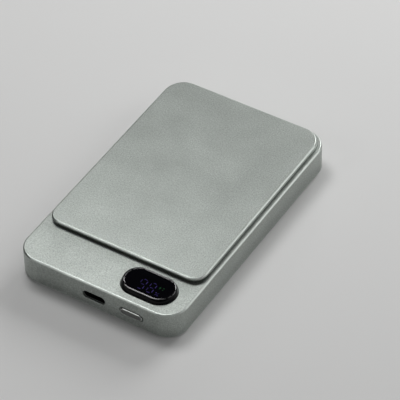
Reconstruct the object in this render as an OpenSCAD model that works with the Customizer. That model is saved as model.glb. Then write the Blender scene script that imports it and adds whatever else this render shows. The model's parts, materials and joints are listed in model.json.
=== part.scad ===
// Magnetic power bank with a folding stand plate, a small charge display,
// a power button and a USB-C socket. Everything is in millimetres.
// X runs across the case, +Y runs away from the socket end, +Z runs away from
// the face that clings to the phone. The origin is the middle of that face.

/* [Case] */
// Width of the case
body_w = 64.6; // [62:0.1:70]
// Length of the case
body_l = 103.2; // [100:0.1:112]
// Height of the main deck above the phone
deck_z = 11; // [10.8:0.1:13]
// Radius of the upright corners
corner_r = 8; // [7:0.5:10]
// Thickness of the side walls
wall = 1.4; // [1.2:0.1:1.6]
// Thickness of the deck
roof = 1.5; // [1.4:0.1:1.6]
// Width of the bevel round the top edges
edge_bevel = 0.45; // [0.3:0.05:0.6]
// Height of the seam between case and cover
seam_z = 1; // [0.9:0.05:1.1]

/* [Stand plate] */
// Width of the stand plate
plate_w = 61.7; // [60:0.1:61.8]
// Clear strip of deck in front of the stand plate
front_strip = 17.6; // [17.4:0.1:20]
// Distance from the stand plate to the far face of the case
far_inset = 1.5; // [1.5:0.1:1.8]
// Height of the stand plate's top face above the deck
plate_rise = 2.2; // [2.2:0.05:2.4]
// Thickness of the stand plate's top skin
skin_t = 1; // [0.9:0.05:1]
// Gap between the deck and the stand plate's rim
deck_gap = 0.5; // [0.45:0.05:0.55]
// Radius of the two corners by the display
near_r = 5; // [4:0.5:6]
// Radius of the two corners by the hinge
far_r = 7.5; // [7:0.5:8]

/* [Hinge] */
// Diameter of the hinge pin
pin_d = 0.8; // [0.7:0.05:0.8]
// Running clearance round the pin in the bracket's ears
pin_clearance = 0.03; // [0.02:0.01:0.05]
// Distance from the hinge axis to the stand plate's far edge
hinge_back = 1.2; // [1.2:0.05:1.25]
// Height of the hinge axis above the deck
hinge_rise = 0.9; // [0.9:0.02:0.94]
// Width of each bracket ear
ear_w = 3.6; // [3:0.1:4]
// Middle of each ear from the centre line
ear_x = 20; // [19.5:0.1:20]

/* [Display] */
// Length of the display's rounded frame where it leaves the deck
display_w = 20.9; // [20.4:0.1:21.4]
// Breadth of the display's rounded frame where it leaves the deck
display_d = 12.6; // [12.2:0.1:12.8]
// Height of the display above the deck
display_rise = 1.95; // [1.8:0.05:2.1]
// How far the frame's sides lean in towards the top
display_lean = 0.9; // [0.8:0.05:1]
// Middle of the display from the centre line
display_x = 16.4; // [15:0.1:16.8]
// Height of each lit figure, between its outer bars
digit_h = 4.5; // [4.2:0.1:4.8]

/* [Power button] */
// Length of the power button
button_w = 8.9; // [8:0.1:9.4]
// Height of the power button
button_h = 2.7; // [2.4:0.1:2.8]
// Middle of the power button from the centre line
button_x = 14.9; // [14.4:0.1:15.4]
// How far the power button stands out
button_proud = 0.3; // [0.2:0.05:0.4]

/* [USB-C socket] */
// Width of the socket's metal shell
usb_w = 8.94; // [8.94:0.01:8.98]
// Height of the socket's metal shell
usb_h = 3.16; // [3.16:0.01:3.2]
// Height of the socket's middle above the phone
socket_z = 5.3; // [5.2:0.05:5.4]

/* [Magnets and coil] */
// Distance of the ring's middle towards the hinge end
ring_y = 21; // [20:0.5:22]
// Outer diameter of the magnet ring
ring_d = 54; // [53:0.5:54]
// Number of magnets in the ring
ring_magnet_count = 16; // [12:1:18]
// Turns in the charging coil
coil_turns = 10; // [8:1:10]

/* [Battery] */
// Width of the battery cell
cell_w = 56.8; // [50:0.1:57]
// Thickness of the battery cell
cell_t = 5.8; // [5:0.1:5.8]

/* [Hidden] */
$fn = 64;

// Small gaps between fixed pieces, and extra length of a cut past a face
fit = 0.1;
film_gap = 0.02;
past = 1;

// Case
front_y = -body_l / 2;
far_y = body_l / 2;
inside_w = body_w - 2 * wall;
inside_l = body_l - 2 * wall;
ceiling_z = deck_z - roof;
seam_gap = 0.05;
cover_z = 0.2;
floor_z = 1.2;
pad_t = 0.4;
pad_inset = 3;
pad_bevel = 0.15;
lip_t = 0.9;
lip_z = 2.4;
screw_r = 0.5;

// Stand plate
plate_z = deck_z + plate_rise;
rim_z = deck_z + deck_gap;
skin_z = plate_z - skin_t;
plate_front = front_y + front_strip;
plate_far = far_y - far_inset;
rim_t = 1.2;
tray_r = 1;
liner_setback = 1.6;
liner_near_r = 3;
liner_far_r = 5;
catch_x = 22;
catch_y = plate_front + 7;
catch_r = 2.5;
catch_t = 0.7;
bumper_x = 11;
bumper_y = plate_front + 5;
bumper_w = 7;
bumper_d = 2;
bumper_sink = 0.4;

// Hinge
hinge_y = plate_far - hinge_back;
hinge_z = deck_z + hinge_rise;
pin_r = pin_d / 2;
ear_r = 0.7;
barrel_r = 0.75;
groove_r = 0.85;
ear_gap = 0.6;
barrel_x = ear_x - ear_w / 2 - ear_gap;
washer_t = 0.35;
pin_head_gap = 0.35;
pin_head_t = 0.5;
pin_head_r = 0.62;
groove_x = ear_x + ear_w / 2 + pin_head_gap + pin_head_t + 0.35;
ear_neck = 1;
neck_gap = 0.2;
ear_slot_w = ear_w + ear_gap;
ear_slot_top = 0.65;
leaf_t = 0.5;
leaf_l = 8.5;
leaf_z = skin_z - leaf_t;
rivet_y = hinge_y - 5.4;
rivet_xs = [-14, -5, 5, 14];
rivet_grip = 0.5;
rivet_head_r = 1;
rivet_head_t = 0.16;
leaf_window = 0.3;
trough_x = 26.5;
trough_front = hinge_y - 1;
trough_far = far_y - 0.85;
trough_depth = 0.7;
bracket_t = 0.8;
bracket_front = hinge_y - 4.4;
bracket_far = hinge_y + 1;
bracket_x = ear_x + ear_w / 2 + 1.4;
bracket_screw_y = hinge_y - 2.6;
bracket_screw_xs = [-15.5, -5.5, 5.5, 15.5];
bracket_screw_grip = 0.6;
bracket_head_r = 1;
bracket_head_t = 0.6;

// Display
display_y = front_y + front_strip / 2 + 0.5;
display_z = deck_z + display_rise;
lean_h = 1.6;
rim_w = 0.35;
lens_t = 0.95;
seat_z = display_z - lens_t;
lens_w = display_w - 2 * (display_lean + rim_w);
lens_d = display_d - 2 * (display_lean + rim_w);
lens_seat = 0.6;
window_w = lens_w - 2 * lens_seat;
window_d = lens_d - 2 * lens_seat;
lens_gap = 0.03;
lens_bevel = 0.12;
flange_t = 0.8;
frame_flange = 1.6;
display_board_t = 0.8;
shroud_z = ceiling_z + display_board_t + fit;
bar_t = 0.35;
bar_z = seat_z - bar_t - 0.05;
bar_gap = 0.2;
digit_w = 2.1;
bar_w = 0.5;
digit_xs = [-1.8, 1.8];
digit_y = -1.35;
marks_x = 4.8;
charge_mark_y = 0;
percent_mark_y = -2.9;
charge_mark_r = 0.9;
charge_hole_r = 0.45;
percent_dot_r = 0.3;
percent_dot_x = 0.65;
percent_stroke_l = 2.2;
ribbon_w = 4;
ribbon_t = 0.12;
ribbon_far = 2.6;
socket_w = 4.4;
socket_t = 0.28;

// Power button and its switch
slot_gap = 0.3;
button_front = front_y - button_proud;
flange_front = front_y + wall + 0.3;
flange_back = flange_front + 0.6;
post_back = flange_back + 0.3;
switch_front = post_back + 1.4;
switch_l = 2.6;
switch_w = 5;
plunger_w = 2.2;
plunger_h = 1.4;
plunger_back = switch_front + 0.6;
plunger_gap = 0.2;
plunger_room = 0.8;
switch_h = 3.2;
flange_w = 1.4;
button_post_r = 1;
button_bevel = 0.3;

// Board
board_z = 2.8;
board_t = 0.8;
board_top = board_z + board_t;
board_front = front_y + 3.1;
board_far = front_y + 17.2;
board_w = 57;
board_corner = 2;
post_x = 26.2;
post_r = 1.6;
post_places = [[-post_x, front_y + 5.6], [post_x, front_y + 5.6], [-post_x, board_far - 2.4]];
screw_head_r = 1.1;
screw_head_t = 0.6;
cross_w = 1.4;
cross_slot = 0.25;
// Each chip as [x, distance from the front face, width, height]
chips = [[-4.5, 13.2, 5, 0.9], [3.6, 12.6, 4, 0.8], [-22.4, 12.6, 4, 0.8],
    [12.6, 13, 3, 0.75], [22, 8, 2.6, 0.75]];
inductor_xs = [-19.2, -11];
inductor_y = front_y + 7;
inductor_w = 6.6;
inductor_h = 2.8;
inductor_dish_r = 2;
inductor_dish = 0.3;
capacitor_w = 0.9;
capacitor_l = 1.7;
// Each row of capacitors as [x of the first, distance from the front face, pitch, count]
capacitor_rows = [[-17.6, 12, 1.9, 6], [14.6, 12.4, 1.8, 4]];

// USB-C socket
usb_wall = 0.3;
usb_front = front_y + 0.9;
usb_back = front_y + 7.6;
tongue_w = 6.69;
tongue_t = 0.7;
tongue_front = usb_front + 0.8;
tongue_base = usb_back - 2;
contact_count = 12;
contact_pitch = 0.5;
leg_ys = [front_y + 4.2, front_y + 6.4];
leg_x = usb_w / 2 - 0.1;
leg_t = 0.2;
leg_w = 0.9;
leg_gap = 0.2;
leg_tail = 0.3;
contact_w = 0.24;
contact_t = 0.06;

// Magnets and coil
mark_w = 0.6;
mark_depth = 0.12;
magnet_t = 1.1;
magnet_band = 4;
magnet_gap = 0.4;
lead_gap = 12.5;
shield_t = 0.4;
coil_r = 10.2;
coil_pitch = 1.05;
coil_wire = 0.9;
coil_t = 0.8;
coil_far_r = coil_r + (coil_turns - 1) * coil_pitch + coil_wire;
ferrite_t = 0.5;
align_w = 5;
align_l = 18;
align_y = ring_y - ring_d / 2 - align_l / 2 - 1.5;
lead_x = 4.2;
lead_w = 1;
lead_t = 0.5;
carrier_z = 2.95;
carrier_x = 29.4;
carrier_front = front_y + 21.6;
carrier_far = far_y - 3.4;
carrier_cut = 9;
stack_z = floor_z + 0.05;

// Battery
cell_z = carrier_z + 0.3;
cell_front = board_far + 3.6;
cell_far = bracket_front - 0.9;
cell_corner = 2;
cell_bevel = 0.8;
terrace_l = 2.6;
terrace_t = 0.6;
terrace_z = cell_z + cell_t / 2 - terrace_t / 2;
tab_t = 0.15;
tab_w = 4;
tab_xs = [-9, 9];
adhesive_xs = [-17, 17];
adhesive_w = 12;
adhesive_inset = 4;
foam_l = 8;
foam_x = 22;
foam_ys = [cell_front + 8, cell_far - 16];
bead_w = 2;
bead_l = 1.3;
bead_x = 20;
bead_z = cell_z + 0.9;
bead_leg_w = 0.3;
bead_leg_xs = [-0.7, 0.4];

// Half of an upright outline with bevelled ends, from the middle out to r.
// The top bevel comes in by top times lean
function bevel_side(r, h, top, bottom, lean = 1) = concat(
    bottom > 0 ? [[r - bottom, 0], [r, bottom]] : [[r, 0]],
    top > 0 ? [[r, h - top], [r - top * lean, h]] : [[r, h]]);

// Seven-segment bars as [x, y, is upright], for a figure of the given width and height
function bar_places(w, h) = [
    [0, h / 2, 0], [w / 2, h / 4, 1], [w / 2, -h / 4, 1], [0, -h / 2, 0],
    [-w / 2, -h / 4, 1], [-w / 2, h / 4, 1], [0, 0, 0]];

// A rounded plate with bevelled edges, from y0 to y1, upwards from z = 0
module bevelled_plate(w, y0, y1, rn, rf, h, top = 0, bottom = 0) {
    middle = (y0 + y1) / 2;
    for (side = [-1, 1]) {
        translate([side * (w / 2 - rn), y0 + rn, 0])
            rotate_extrude()
                polygon(concat([[0, 0]], bevel_side(rn, h, top, bottom), [[0, h]]));
        translate([side * (w / 2 - rf), y1 - rf, 0])
            rotate_extrude()
                polygon(concat([[0, 0]], bevel_side(rf, h, top, bottom), [[0, h]]));
    }
    right = bevel_side(w / 2, h, top, bottom);
    left = [for (i = [len(right) - 1 : -1 : 0]) [-right[i][0], right[i][1]]];
    translate([0, y1 - rf, 0])
        rotate([90, 0, 0])
            linear_extrude(y1 - rf - y0 - rn)
                polygon(concat(right, left));
    near = [for (p = bevel_side(middle - y0, h, top, bottom)) [middle - p[0], p[1]]];
    rotate([90, 0, 90])
        linear_extrude(w - 2 * rn, center = true)
            polygon(concat([[middle, 0]], near, [[middle, h]]));
    far = [for (p = bevel_side(y1 - middle, h, top, bottom)) [middle + p[0], p[1]]];
    rotate([90, 0, 90])
        linear_extrude(w - 2 * rf, center = true)
            polygon(concat([[middle, 0]], far, [[middle, h]]));
}

// A plate with two half-round ends along X and an optional top bevel
module pill(w, d, h, top = 0, lean = 1) {
    side = bevel_side(d / 2, h, top, 0, lean);
    for (x = [-1, 1])
        translate([x * (w - d) / 2, 0, 0])
            rotate_extrude()
                polygon(concat([[0, 0]], side, [[0, h]]));
    other = [for (i = [len(side) - 1 : -1 : 0]) [-side[i][0], side[i][1]]];
    rotate([90, 0, 90])
        linear_extrude(w - d, center = true)
            polygon(concat(side, other));
}

// The same plate standing up, running from y0 to y1 through a wall
module wall_pill(w, d, y0, y1) {
    translate([0, y1, 0])
        rotate([90, 0, 0])
            pill(w, d, y1 - y0);
}

module box(x0, x1, y0, y1, z0, z1) {
    translate([x0, y0, z0])
        cube([x1 - x0, y1 - y0, z1 - z0]);
}

module rod_x(r, x0, x1) {
    translate([x0, 0, 0])
        rotate([0, 90, 0])
            cylinder(r = r, h = x1 - x0);
}

module ring(outer, inner, h) {
    difference() {
        cylinder(r = outer, h = h);
        translate([0, 0, -past])
            cylinder(r = inner, h = h + 2 * past);
    }
}

// A wedge that leaves room for the coil leads in the ring
module lead_wedge(reach, h) {
    across = reach * tan(lead_gap);
    translate([0, 0, -past])
        linear_extrude(h + 2 * past)
            polygon([[0, 0], [-across, -reach], [across, -reach]]);
}

module sage() { color([0.60, 0.625, 0.605]) children(); }
module gloss_black() { color([0.05, 0.05, 0.06]) children(); }
module matt_black() { color([0.12, 0.12, 0.12]) children(); }
module steel() { color([0.72, 0.73, 0.74]) children(); }
module copper() { color([0.80, 0.47, 0.27]) children(); }
module gold() { color([0.85, 0.68, 0.32]) children(); }
module board_green() { color([0.07, 0.27, 0.16]) children(); }
module silicone() { color([0.26, 0.27, 0.27]) children(); }

module top_housing() {
    sage() difference() {
        translate([0, 0, seam_z])
            bevelled_plate(body_w, front_y, far_y, corner_r, corner_r,
                deck_z - seam_z, edge_bevel);
        bevelled_plate(inside_w, -inside_l / 2, inside_l / 2,
            corner_r - wall, corner_r - wall, ceiling_z);
        translate([display_x, display_y, ceiling_z - past])
            pill(display_w + 2 * fit, display_d + 2 * fit, roof + 2 * past);
        translate([0, 0, socket_z])
            wall_pill(usb_w + fit, usb_h + fit, front_y - past, front_y + wall + past);
        translate([button_x, 0, socket_z])
            wall_pill(button_w + 2 * slot_gap, button_h + 2 * slot_gap,
                front_y - past, front_y + wall + past);
        box(-trough_x, trough_x, trough_front, trough_far,
            deck_z - trough_depth, deck_z + past);
        for (side = [-1, 1]) {
            translate([side * ear_x, 0, 0])
                box(-ear_slot_w / 2, ear_slot_w / 2, hinge_y - ear_neck / 2 - neck_gap,
                    hinge_y + ear_neck / 2 + neck_gap, ceiling_z - past, deck_z);
            translate([side * catch_x, catch_y, ceiling_z - past])
                cylinder(r = catch_r + fit, h = past + catch_t + fit);
            translate([side * bumper_x, bumper_y, deck_z - bumper_sink])
                pill(bumper_w + 2 * fit, bumper_d + 2 * fit, bumper_sink + past);
        }
        for (x = bracket_screw_xs)
            translate([x, bracket_screw_y, ceiling_z - past])
                cylinder(r = screw_r, h = past + bracket_screw_grip + fit);
    }
}

module bottom_cover() {
    sage() difference() {
        union() {
            translate([0, 0, cover_z])
                bevelled_plate(body_w, front_y, far_y, corner_r, corner_r,
                    seam_z - seam_gap - cover_z, 0, edge_bevel);
            cover_lip();
            for (p = post_places)
                translate([p[0], p[1], floor_z - fit])
                    cylinder(r = post_r, h = board_z - floor_z + fit);
        }
        translate([0, 0, cover_z - past])
            bevelled_plate(body_w - 2 * pad_inset, front_y + pad_inset, far_y - pad_inset,
                corner_r - pad_inset, corner_r - pad_inset, past + pad_t);
        for (p = post_places)
            translate([p[0], p[1], floor_z])
                cylinder(r = screw_r, h = board_z);
    }
}

// The cover's floor and the upstanding lip that locates it in the case
module cover_lip() {
    lip_w = inside_w - 2 * fit;
    lip_y = inside_l / 2 - fit;
    lip_r = corner_r - wall - fit;
    difference() {
        translate([0, 0, cover_z + pad_t])
            bevelled_plate(lip_w, -lip_y, lip_y, lip_r, lip_r, lip_z - cover_z - pad_t);
        translate([0, 0, floor_z])
            bevelled_plate(lip_w - 2 * lip_t, -lip_y + lip_t, lip_y - lip_t,
                lip_r - lip_t, lip_r - lip_t, lip_z);
    }
}

module grip_pad() {
    inset = pad_inset + seam_gap;
    silicone() difference() {
        bevelled_plate(body_w - 2 * inset, front_y + inset, far_y - inset,
            corner_r - inset, corner_r - inset, cover_z + pad_t, 0, pad_bevel);
        for (r = [ring_d / 2, ring_d / 2 - magnet_band])
            translate([0, ring_y, -past])
                ring(r + mark_w / 2, r - mark_w / 2, past + mark_depth);
        translate([0, align_y, -past])
            rotate(90)
                difference() {
                    pill(align_l + mark_w, align_w + mark_w, past + mark_depth);
                    translate([0, 0, -past])
                        pill(align_l - mark_w, align_w - mark_w, 3 * past);
                }
    }
}

module coil_carrier() {
    color([0.86, 0.86, 0.84]) difference() {
        box(-carrier_x, carrier_x, carrier_front, carrier_far, stack_z, carrier_z);
        translate([0, ring_y, 0])
            cylinder(r = ring_d / 2 + 2 * fit, h = carrier_z + past);
        box(-lead_x - 1.2 * lead_w, lead_x + 1.2 * lead_w, carrier_front - past, ring_y,
            0, carrier_z + past);
        for (side = [-1, 1])
            translate([side * carrier_x, carrier_far, 0])
                rotate(45)
                    cube([carrier_cut, carrier_cut, 3 * carrier_z], center = true);
    }
}

module ring_magnets() {
    sector = (360 - 2 * lead_gap) / ring_magnet_count;
    steel() translate([0, ring_y, stack_z]) difference() {
        ring(ring_d / 2, ring_d / 2 - magnet_band, magnet_t);
        lead_wedge(ring_d, magnet_t);
        for (i = [1 : ring_magnet_count - 1])
            rotate(-90 + lead_gap + i * sector)
                box(ring_d / 4, ring_d, -magnet_gap / 2, magnet_gap / 2,
                    -past, magnet_t + past);
    }
}

module shield_ring() {
    steel() translate([0, ring_y, stack_z + magnet_t + film_gap]) difference() {
        ring(ring_d / 2, ring_d / 2 - magnet_band, shield_t);
        lead_wedge(ring_d, shield_t);
    }
}

module alignment_magnet() {
    steel() translate([0, align_y, stack_z])
        rotate(90)
            pill(align_l, align_w, magnet_t);
}

module charging_coil() {
    copper() translate([0, ring_y, stack_z])
        for (i = [0 : coil_turns - 1])
            ring(coil_r + i * coil_pitch + coil_wire, coil_r + i * coil_pitch, coil_t);
}

// The two ends of the coil run flat to the board and turn up to its underside
module coil_leads() {
    outer_y = ring_y - coil_far_r - fit;
    inner_y = ring_y - coil_r + 0.4;
    inner_z = stack_z + coil_t + film_gap;
    end_y = board_far - 2;
    copper() {
        for (lead = [[lead_x, outer_y, stack_z], [-lead_x, inner_y, inner_z]]) {
            box(lead[0] - lead_w / 2, lead[0] + lead_w / 2, end_y, lead[1],
                lead[2], lead[2] + lead_t);
            box(lead[0] - lead_w / 2, lead[0] + lead_w / 2, end_y, end_y + lead_t,
                lead[2], board_z - film_gap);
        }
    }
}

module ferrite_sheet() {
    color([0.20, 0.20, 0.22]) difference() {
        translate([0, ring_y, stack_z + coil_t + film_gap])
            cylinder(r = coil_far_r + 0.8, h = ferrite_t);
        box(-lead_x - lead_w / 2 - 2 * fit, -lead_x + lead_w / 2 + 2 * fit,
            ring_y - ring_d, ring_y - coil_r + 0.6, 0, carrier_z + past);
    }
}

module battery_cell() {
    color([0.78, 0.79, 0.80]) {
        translate([0, 0, cell_z])
            bevelled_plate(cell_w, cell_front, cell_far, cell_corner, cell_corner, cell_t,
                cell_bevel, cell_bevel);
        box(-cell_w / 2 + cell_corner, cell_w / 2 - cell_corner, cell_front - terrace_l,
            cell_front + past, terrace_z, terrace_z + terrace_t);
    }
}

// Nickel strips from the cell's terrace down to the board
module battery_tabs() {
    strip_z = terrace_z + terrace_t + 0.01;
    foot_y = board_far - 2.2;
    steel() for (x = tab_xs) {
        box(x - tab_w / 2, x + tab_w / 2, foot_y, cell_front - 0.6, strip_z, strip_z + tab_t);
        box(x - tab_w / 2, x + tab_w / 2, foot_y, foot_y + tab_t,
            board_top + 0.01, strip_z + tab_t);
    }
}

module battery_adhesive() {
    color([0.90, 0.88, 0.80]) for (x = adhesive_xs)
        box(x - adhesive_w / 2, x + adhesive_w / 2, cell_front + adhesive_inset,
            cell_far - adhesive_inset, carrier_z, cell_z);
}

module battery_foam() {
    matt_black() for (y = foam_ys)
        box(-foam_x, foam_x, y, y + foam_l, cell_z + cell_t, ceiling_z);
}

// A bead on the cell's end wall, with its two legs down to the board
module thermistor() {
    bead_front = cell_front - bead_l;
    foot_y = board_far - 1.9;
    leg_z = bead_z + 0.4;
    color([0.15, 0.35, 0.55]) translate([bead_x, 0, 0]) {
        box(-bead_w / 2, bead_w / 2, bead_front, cell_front - film_gap, bead_z, bead_z + 1.1);
        for (x = bead_leg_xs) {
            box(x, x + bead_leg_w, foot_y + bead_leg_w, bead_front,
                leg_z, leg_z + bead_leg_w);
            box(x, x + bead_leg_w, foot_y, foot_y + bead_leg_w,
                board_top, leg_z + bead_leg_w);
        }
    }
}

module main_board() {
    board_green() difference() {
        translate([0, 0, board_z])
            bevelled_plate(board_w, board_front, board_far, board_corner, board_corner,
                board_t);
        for (p = post_places)
            translate([p[0], p[1], board_z - past])
                cylinder(r = screw_r + fit, h = board_t + 2 * past);
        for (side = [-1, 1], y = leg_ys)
            translate([side * leg_x, y, 0])
                box(-leg_t / 2 - leg_gap, leg_t / 2 + leg_gap, -leg_w / 2 - leg_gap,
                    leg_w / 2 + leg_gap, board_z - past, board_top + past);
    }
}

module board_screws() {
    steel() for (p = post_places)
        translate([p[0], p[1], 0]) {
            translate([0, 0, floor_z + 2 * fit])
                cylinder(r = screw_r, h = board_top - floor_z - fit);
            difference() {
                translate([0, 0, board_top])
                    cylinder(r = screw_head_r, h = screw_head_t);
                for (turn = [0, 90])
                    translate([0, 0, board_top + screw_head_t])
                        rotate(turn)
                            cube([cross_w, cross_slot, screw_head_t], center = true);
            }
        }
}

module control_chips() {
    matt_black() for (chip = chips)
        translate([chip[0], front_y + chip[1], board_top + chip[3] / 2])
            cube([chip[2], chip[2], chip[3]], center = true);
}

module power_inductors() {
    color([0.30, 0.30, 0.31]) for (x = inductor_xs)
        translate([x, inductor_y, board_top]) difference() {
            translate([-inductor_w / 2, -inductor_w / 2, 0])
                cube([inductor_w, inductor_w, inductor_h]);
            translate([0, 0, inductor_h - inductor_dish])
                cylinder(r = inductor_dish_r, h = past);
        }
}

module ceramic_capacitors() {
    color([0.72, 0.62, 0.48]) for (row = capacitor_rows)
        for (i = [0 : row[3] - 1])
            translate([row[0] + row[2] * i, front_y + row[1], board_top])
                cube([capacitor_w, capacitor_l, capacitor_w]);
}

module usb_shell() {
    steel() {
        translate([0, 0, socket_z]) difference() {
            wall_pill(usb_w, usb_h, usb_front, usb_back);
            wall_pill(usb_w - 2 * usb_wall, usb_h - 2 * usb_wall,
                usb_front - past, usb_back - usb_wall);
        }
        for (side = [-1, 1], y = leg_ys)
            translate([side * leg_x, y, 0])
                box(-leg_t / 2, leg_t / 2, -leg_w / 2, leg_w / 2, board_z - leg_tail, socket_z);
    }
}

module usb_tongue() {
    matt_black() translate([0, 0, socket_z]) {
        wall_pill(usb_w - 2 * usb_wall - 2 * film_gap, usb_h - 2 * usb_wall - 2 * film_gap,
            tongue_base, usb_back - usb_wall);
        box(-tongue_w / 2, tongue_w / 2, tongue_front, tongue_base + 0.5,
            -tongue_t / 2, tongue_t / 2);
    }
}

module usb_contacts() {
    gold() for (i = [0 : contact_count - 1], side = [-1, 1])
        translate([(i - (contact_count - 1) / 2) * contact_pitch, 0,
            socket_z + side * (tongue_t + contact_t) / 2])
            box(-contact_w / 2, contact_w / 2, tongue_front + 0.3, tongue_base - film_gap,
                -contact_t / 2, contact_t / 2);
}

module tact_switch() {
    steel() translate([button_x, 0, 0]) difference() {
        box(-switch_w / 2, switch_w / 2, switch_front, switch_front + switch_l,
            board_top, socket_z + switch_h / 2);
        box(-plunger_w / 2 - plunger_gap, plunger_w / 2 + plunger_gap,
            switch_front - past, plunger_back + plunger_room,
            socket_z - plunger_h / 2 - plunger_gap, socket_z + plunger_h / 2 + plunger_gap);
    }
}

module switch_plunger() {
    matt_black() translate([button_x, 0, socket_z])
        box(-plunger_w / 2, plunger_w / 2, post_back, plunger_back,
            -plunger_h / 2, plunger_h / 2);
}

// The cap shows through the slot, the flange behind the wall keeps it in
module power_button() {
    color([0.45, 0.46, 0.45]) translate([button_x, 0, socket_z]) {
        translate([0, flange_front + fit, 0])
            rotate([90, 0, 0])
                pill(button_w, button_h, flange_front + fit - button_front, button_bevel);
        wall_pill(button_w + flange_w, button_h + flange_w, flange_front, flange_back);
        translate([0, post_back, 0])
            rotate([90, 0, 0])
                cylinder(r = button_post_r, h = post_back - flange_back + fit);
    }
}

module display_frame() {
    gloss_black() translate([display_x, display_y, 0]) difference() {
        union() {
            translate([0, 0, ceiling_z - fit])
                pill(display_w, display_d, display_z - ceiling_z + fit,
                    lean_h, display_lean / lean_h);
            translate([0, 0, ceiling_z - flange_t])
                pill(display_w + frame_flange, display_d + frame_flange, flange_t - film_gap);
        }
        translate([0, 0, seat_z])
            pill(lens_w, lens_d, lens_t + past);
        translate([0, 0, ceiling_z - flange_t - past])
            pill(window_w, window_d, display_z);
    }
}

module display_lens() {
    gloss_black() translate([display_x, display_y, seat_z + film_gap])
        pill(lens_w - 2 * lens_gap, lens_d - 2 * lens_gap, lens_t - film_gap, lens_bevel);
}

module display_board() {
    board_green() translate([display_x, display_y, ceiling_z])
        pill(window_w - 2 * fit, window_d - 2 * fit, display_board_t);
}

// The black block that keeps each bar's light to itself
module light_shroud() {
    matt_black() translate([display_x, display_y, shroud_z])
        pill(window_w - 2 * fit, window_d - 2 * fit, bar_z - film_gap - shroud_z);
}

module seven_bars(w, h) {
    for (bar = bar_places(w, h))
        translate([bar[0], bar[1], bar_t / 2])
            if (bar[2] == 1)
                cube([bar_w, h / 2 - bar_w - bar_gap, bar_t], center = true);
            else
                cube([w - bar_w - bar_gap, bar_w, bar_t], center = true);
}

module digit_bars() {
    color([0.30, 0.24, 0.62]) translate([display_x, display_y + digit_y, bar_z])
        for (x = digit_xs)
            translate([x, 0, 0])
                seven_bars(digit_w, digit_h);
}

// A round charging mark above a slanting percent mark
module status_marks() {
    color([0.20, 0.45, 0.25]) translate([display_x + marks_x, display_y, bar_z]) {
        translate([0, charge_mark_y, 0])
            ring(charge_mark_r, charge_hole_r, bar_t);
        translate([0, percent_mark_y, 0]) {
            for (side = [-1, 1])
                translate([side * percent_dot_x, -side * percent_dot_x, 0])
                    cylinder(r = percent_dot_r, h = bar_t);
            rotate(45)
                translate([0, 0, bar_t / 2])
                    cube([percent_stroke_l, percent_dot_r, bar_t], center = true);
        }
    }
}

// A flat ribbon from the display board down to the main board
module display_ribbon() {
    color([0.78, 0.50, 0.20]) translate([display_x, display_y, 0]) {
        ribbon_z = ceiling_z - film_gap;
        box(-ribbon_w / 2, ribbon_w / 2, -2.2, ribbon_far, ribbon_z - ribbon_t, ribbon_z);
        box(-ribbon_w / 2, ribbon_w / 2, ribbon_far - ribbon_t, ribbon_far,
            board_top + socket_t + film_gap, ribbon_z);
        box(-socket_w / 2, socket_w / 2, ribbon_far - 0.4, ribbon_far + 0.4,
            board_top, board_top + socket_t);
    }
}

module stand_plate() {
    sage() difference() {
        translate([0, 0, rim_z])
            bevelled_plate(plate_w, plate_front, plate_far, near_r, far_r,
                plate_z - rim_z, edge_bevel);
        translate([0, 0, rim_z - past])
            bevelled_plate(plate_w - 2 * rim_t, plate_front - 3 * past, plate_far - rim_t,
                tray_r, far_r - rim_t, past + skin_z - rim_z);
        box(-plate_w, plate_w, plate_front - past, plate_front + near_r,
            rim_z - past, skin_z);
        translate([0, hinge_y, hinge_z])
            rod_x(groove_r, -groove_x, groove_x);
        box(-groove_x, groove_x, hinge_y - groove_r, hinge_y + groove_r,
            rim_z - past, hinge_z);
        for (side = [-1, 1])
            translate([side * ear_x, 0, 0])
                box(-ear_slot_w / 2, ear_slot_w / 2, hinge_y, plate_far + past,
                    rim_z - past, hinge_z + ear_slot_top);
        for (x = rivet_xs)
            translate([x, rivet_y, skin_z - past])
                cylinder(r = screw_r, h = past + rivet_grip);
    }
}

module stand_liner() {
    liner_w = plate_w - 2 * rim_t - 2 * fit;
    liner_z = rim_z + film_gap;
    matt_black() difference() {
        translate([0, 0, liner_z])
            bevelled_plate(liner_w, plate_front + liner_setback, hinge_y - groove_r - fit,
                liner_near_r, liner_far_r, skin_z - film_gap - liner_z);
        box(-barrel_x - leaf_window, barrel_x + leaf_window, hinge_y - leaf_l - leaf_window,
            hinge_y, rim_z - past, skin_z + past);
        for (side = [-1, 1])
            translate([side * catch_x, catch_y, liner_z - past])
                cylinder(r = catch_r + fit / 2, h = skin_t + 2 * past);
    }
}

module stand_magnets() {
    steel() for (side = [-1, 1])
        translate([side * catch_x, catch_y, rim_z + fit / 2])
            cylinder(r = catch_r, h = skin_z - rim_z - fit);
}

module catch_plates() {
    steel() for (side = [-1, 1])
        translate([side * catch_x, catch_y, ceiling_z + fit / 2])
            cylinder(r = catch_r, h = catch_t);
}

module rest_bumpers() {
    silicone() for (side = [-1, 1])
        translate([side * bumper_x, bumper_y, deck_z - bumper_sink + film_gap])
            pill(bumper_w, bumper_d, bumper_sink - film_gap + deck_gap - fit);
}

module hinge_leaf() {
    steel() difference() {
        union() {
            translate([0, hinge_y, hinge_z])
                rod_x(barrel_r, -barrel_x, barrel_x);
            box(-barrel_x, barrel_x, hinge_y - leaf_l, hinge_y, leaf_z, skin_z - film_gap);
        }
        translate([0, hinge_y, hinge_z])
            rod_x(pin_r, -barrel_x - past, barrel_x + past);
        for (x = rivet_xs)
            translate([x, rivet_y, leaf_z - past])
                cylinder(r = screw_r, h = leaf_t + 2 * past);
    }
}

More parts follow.
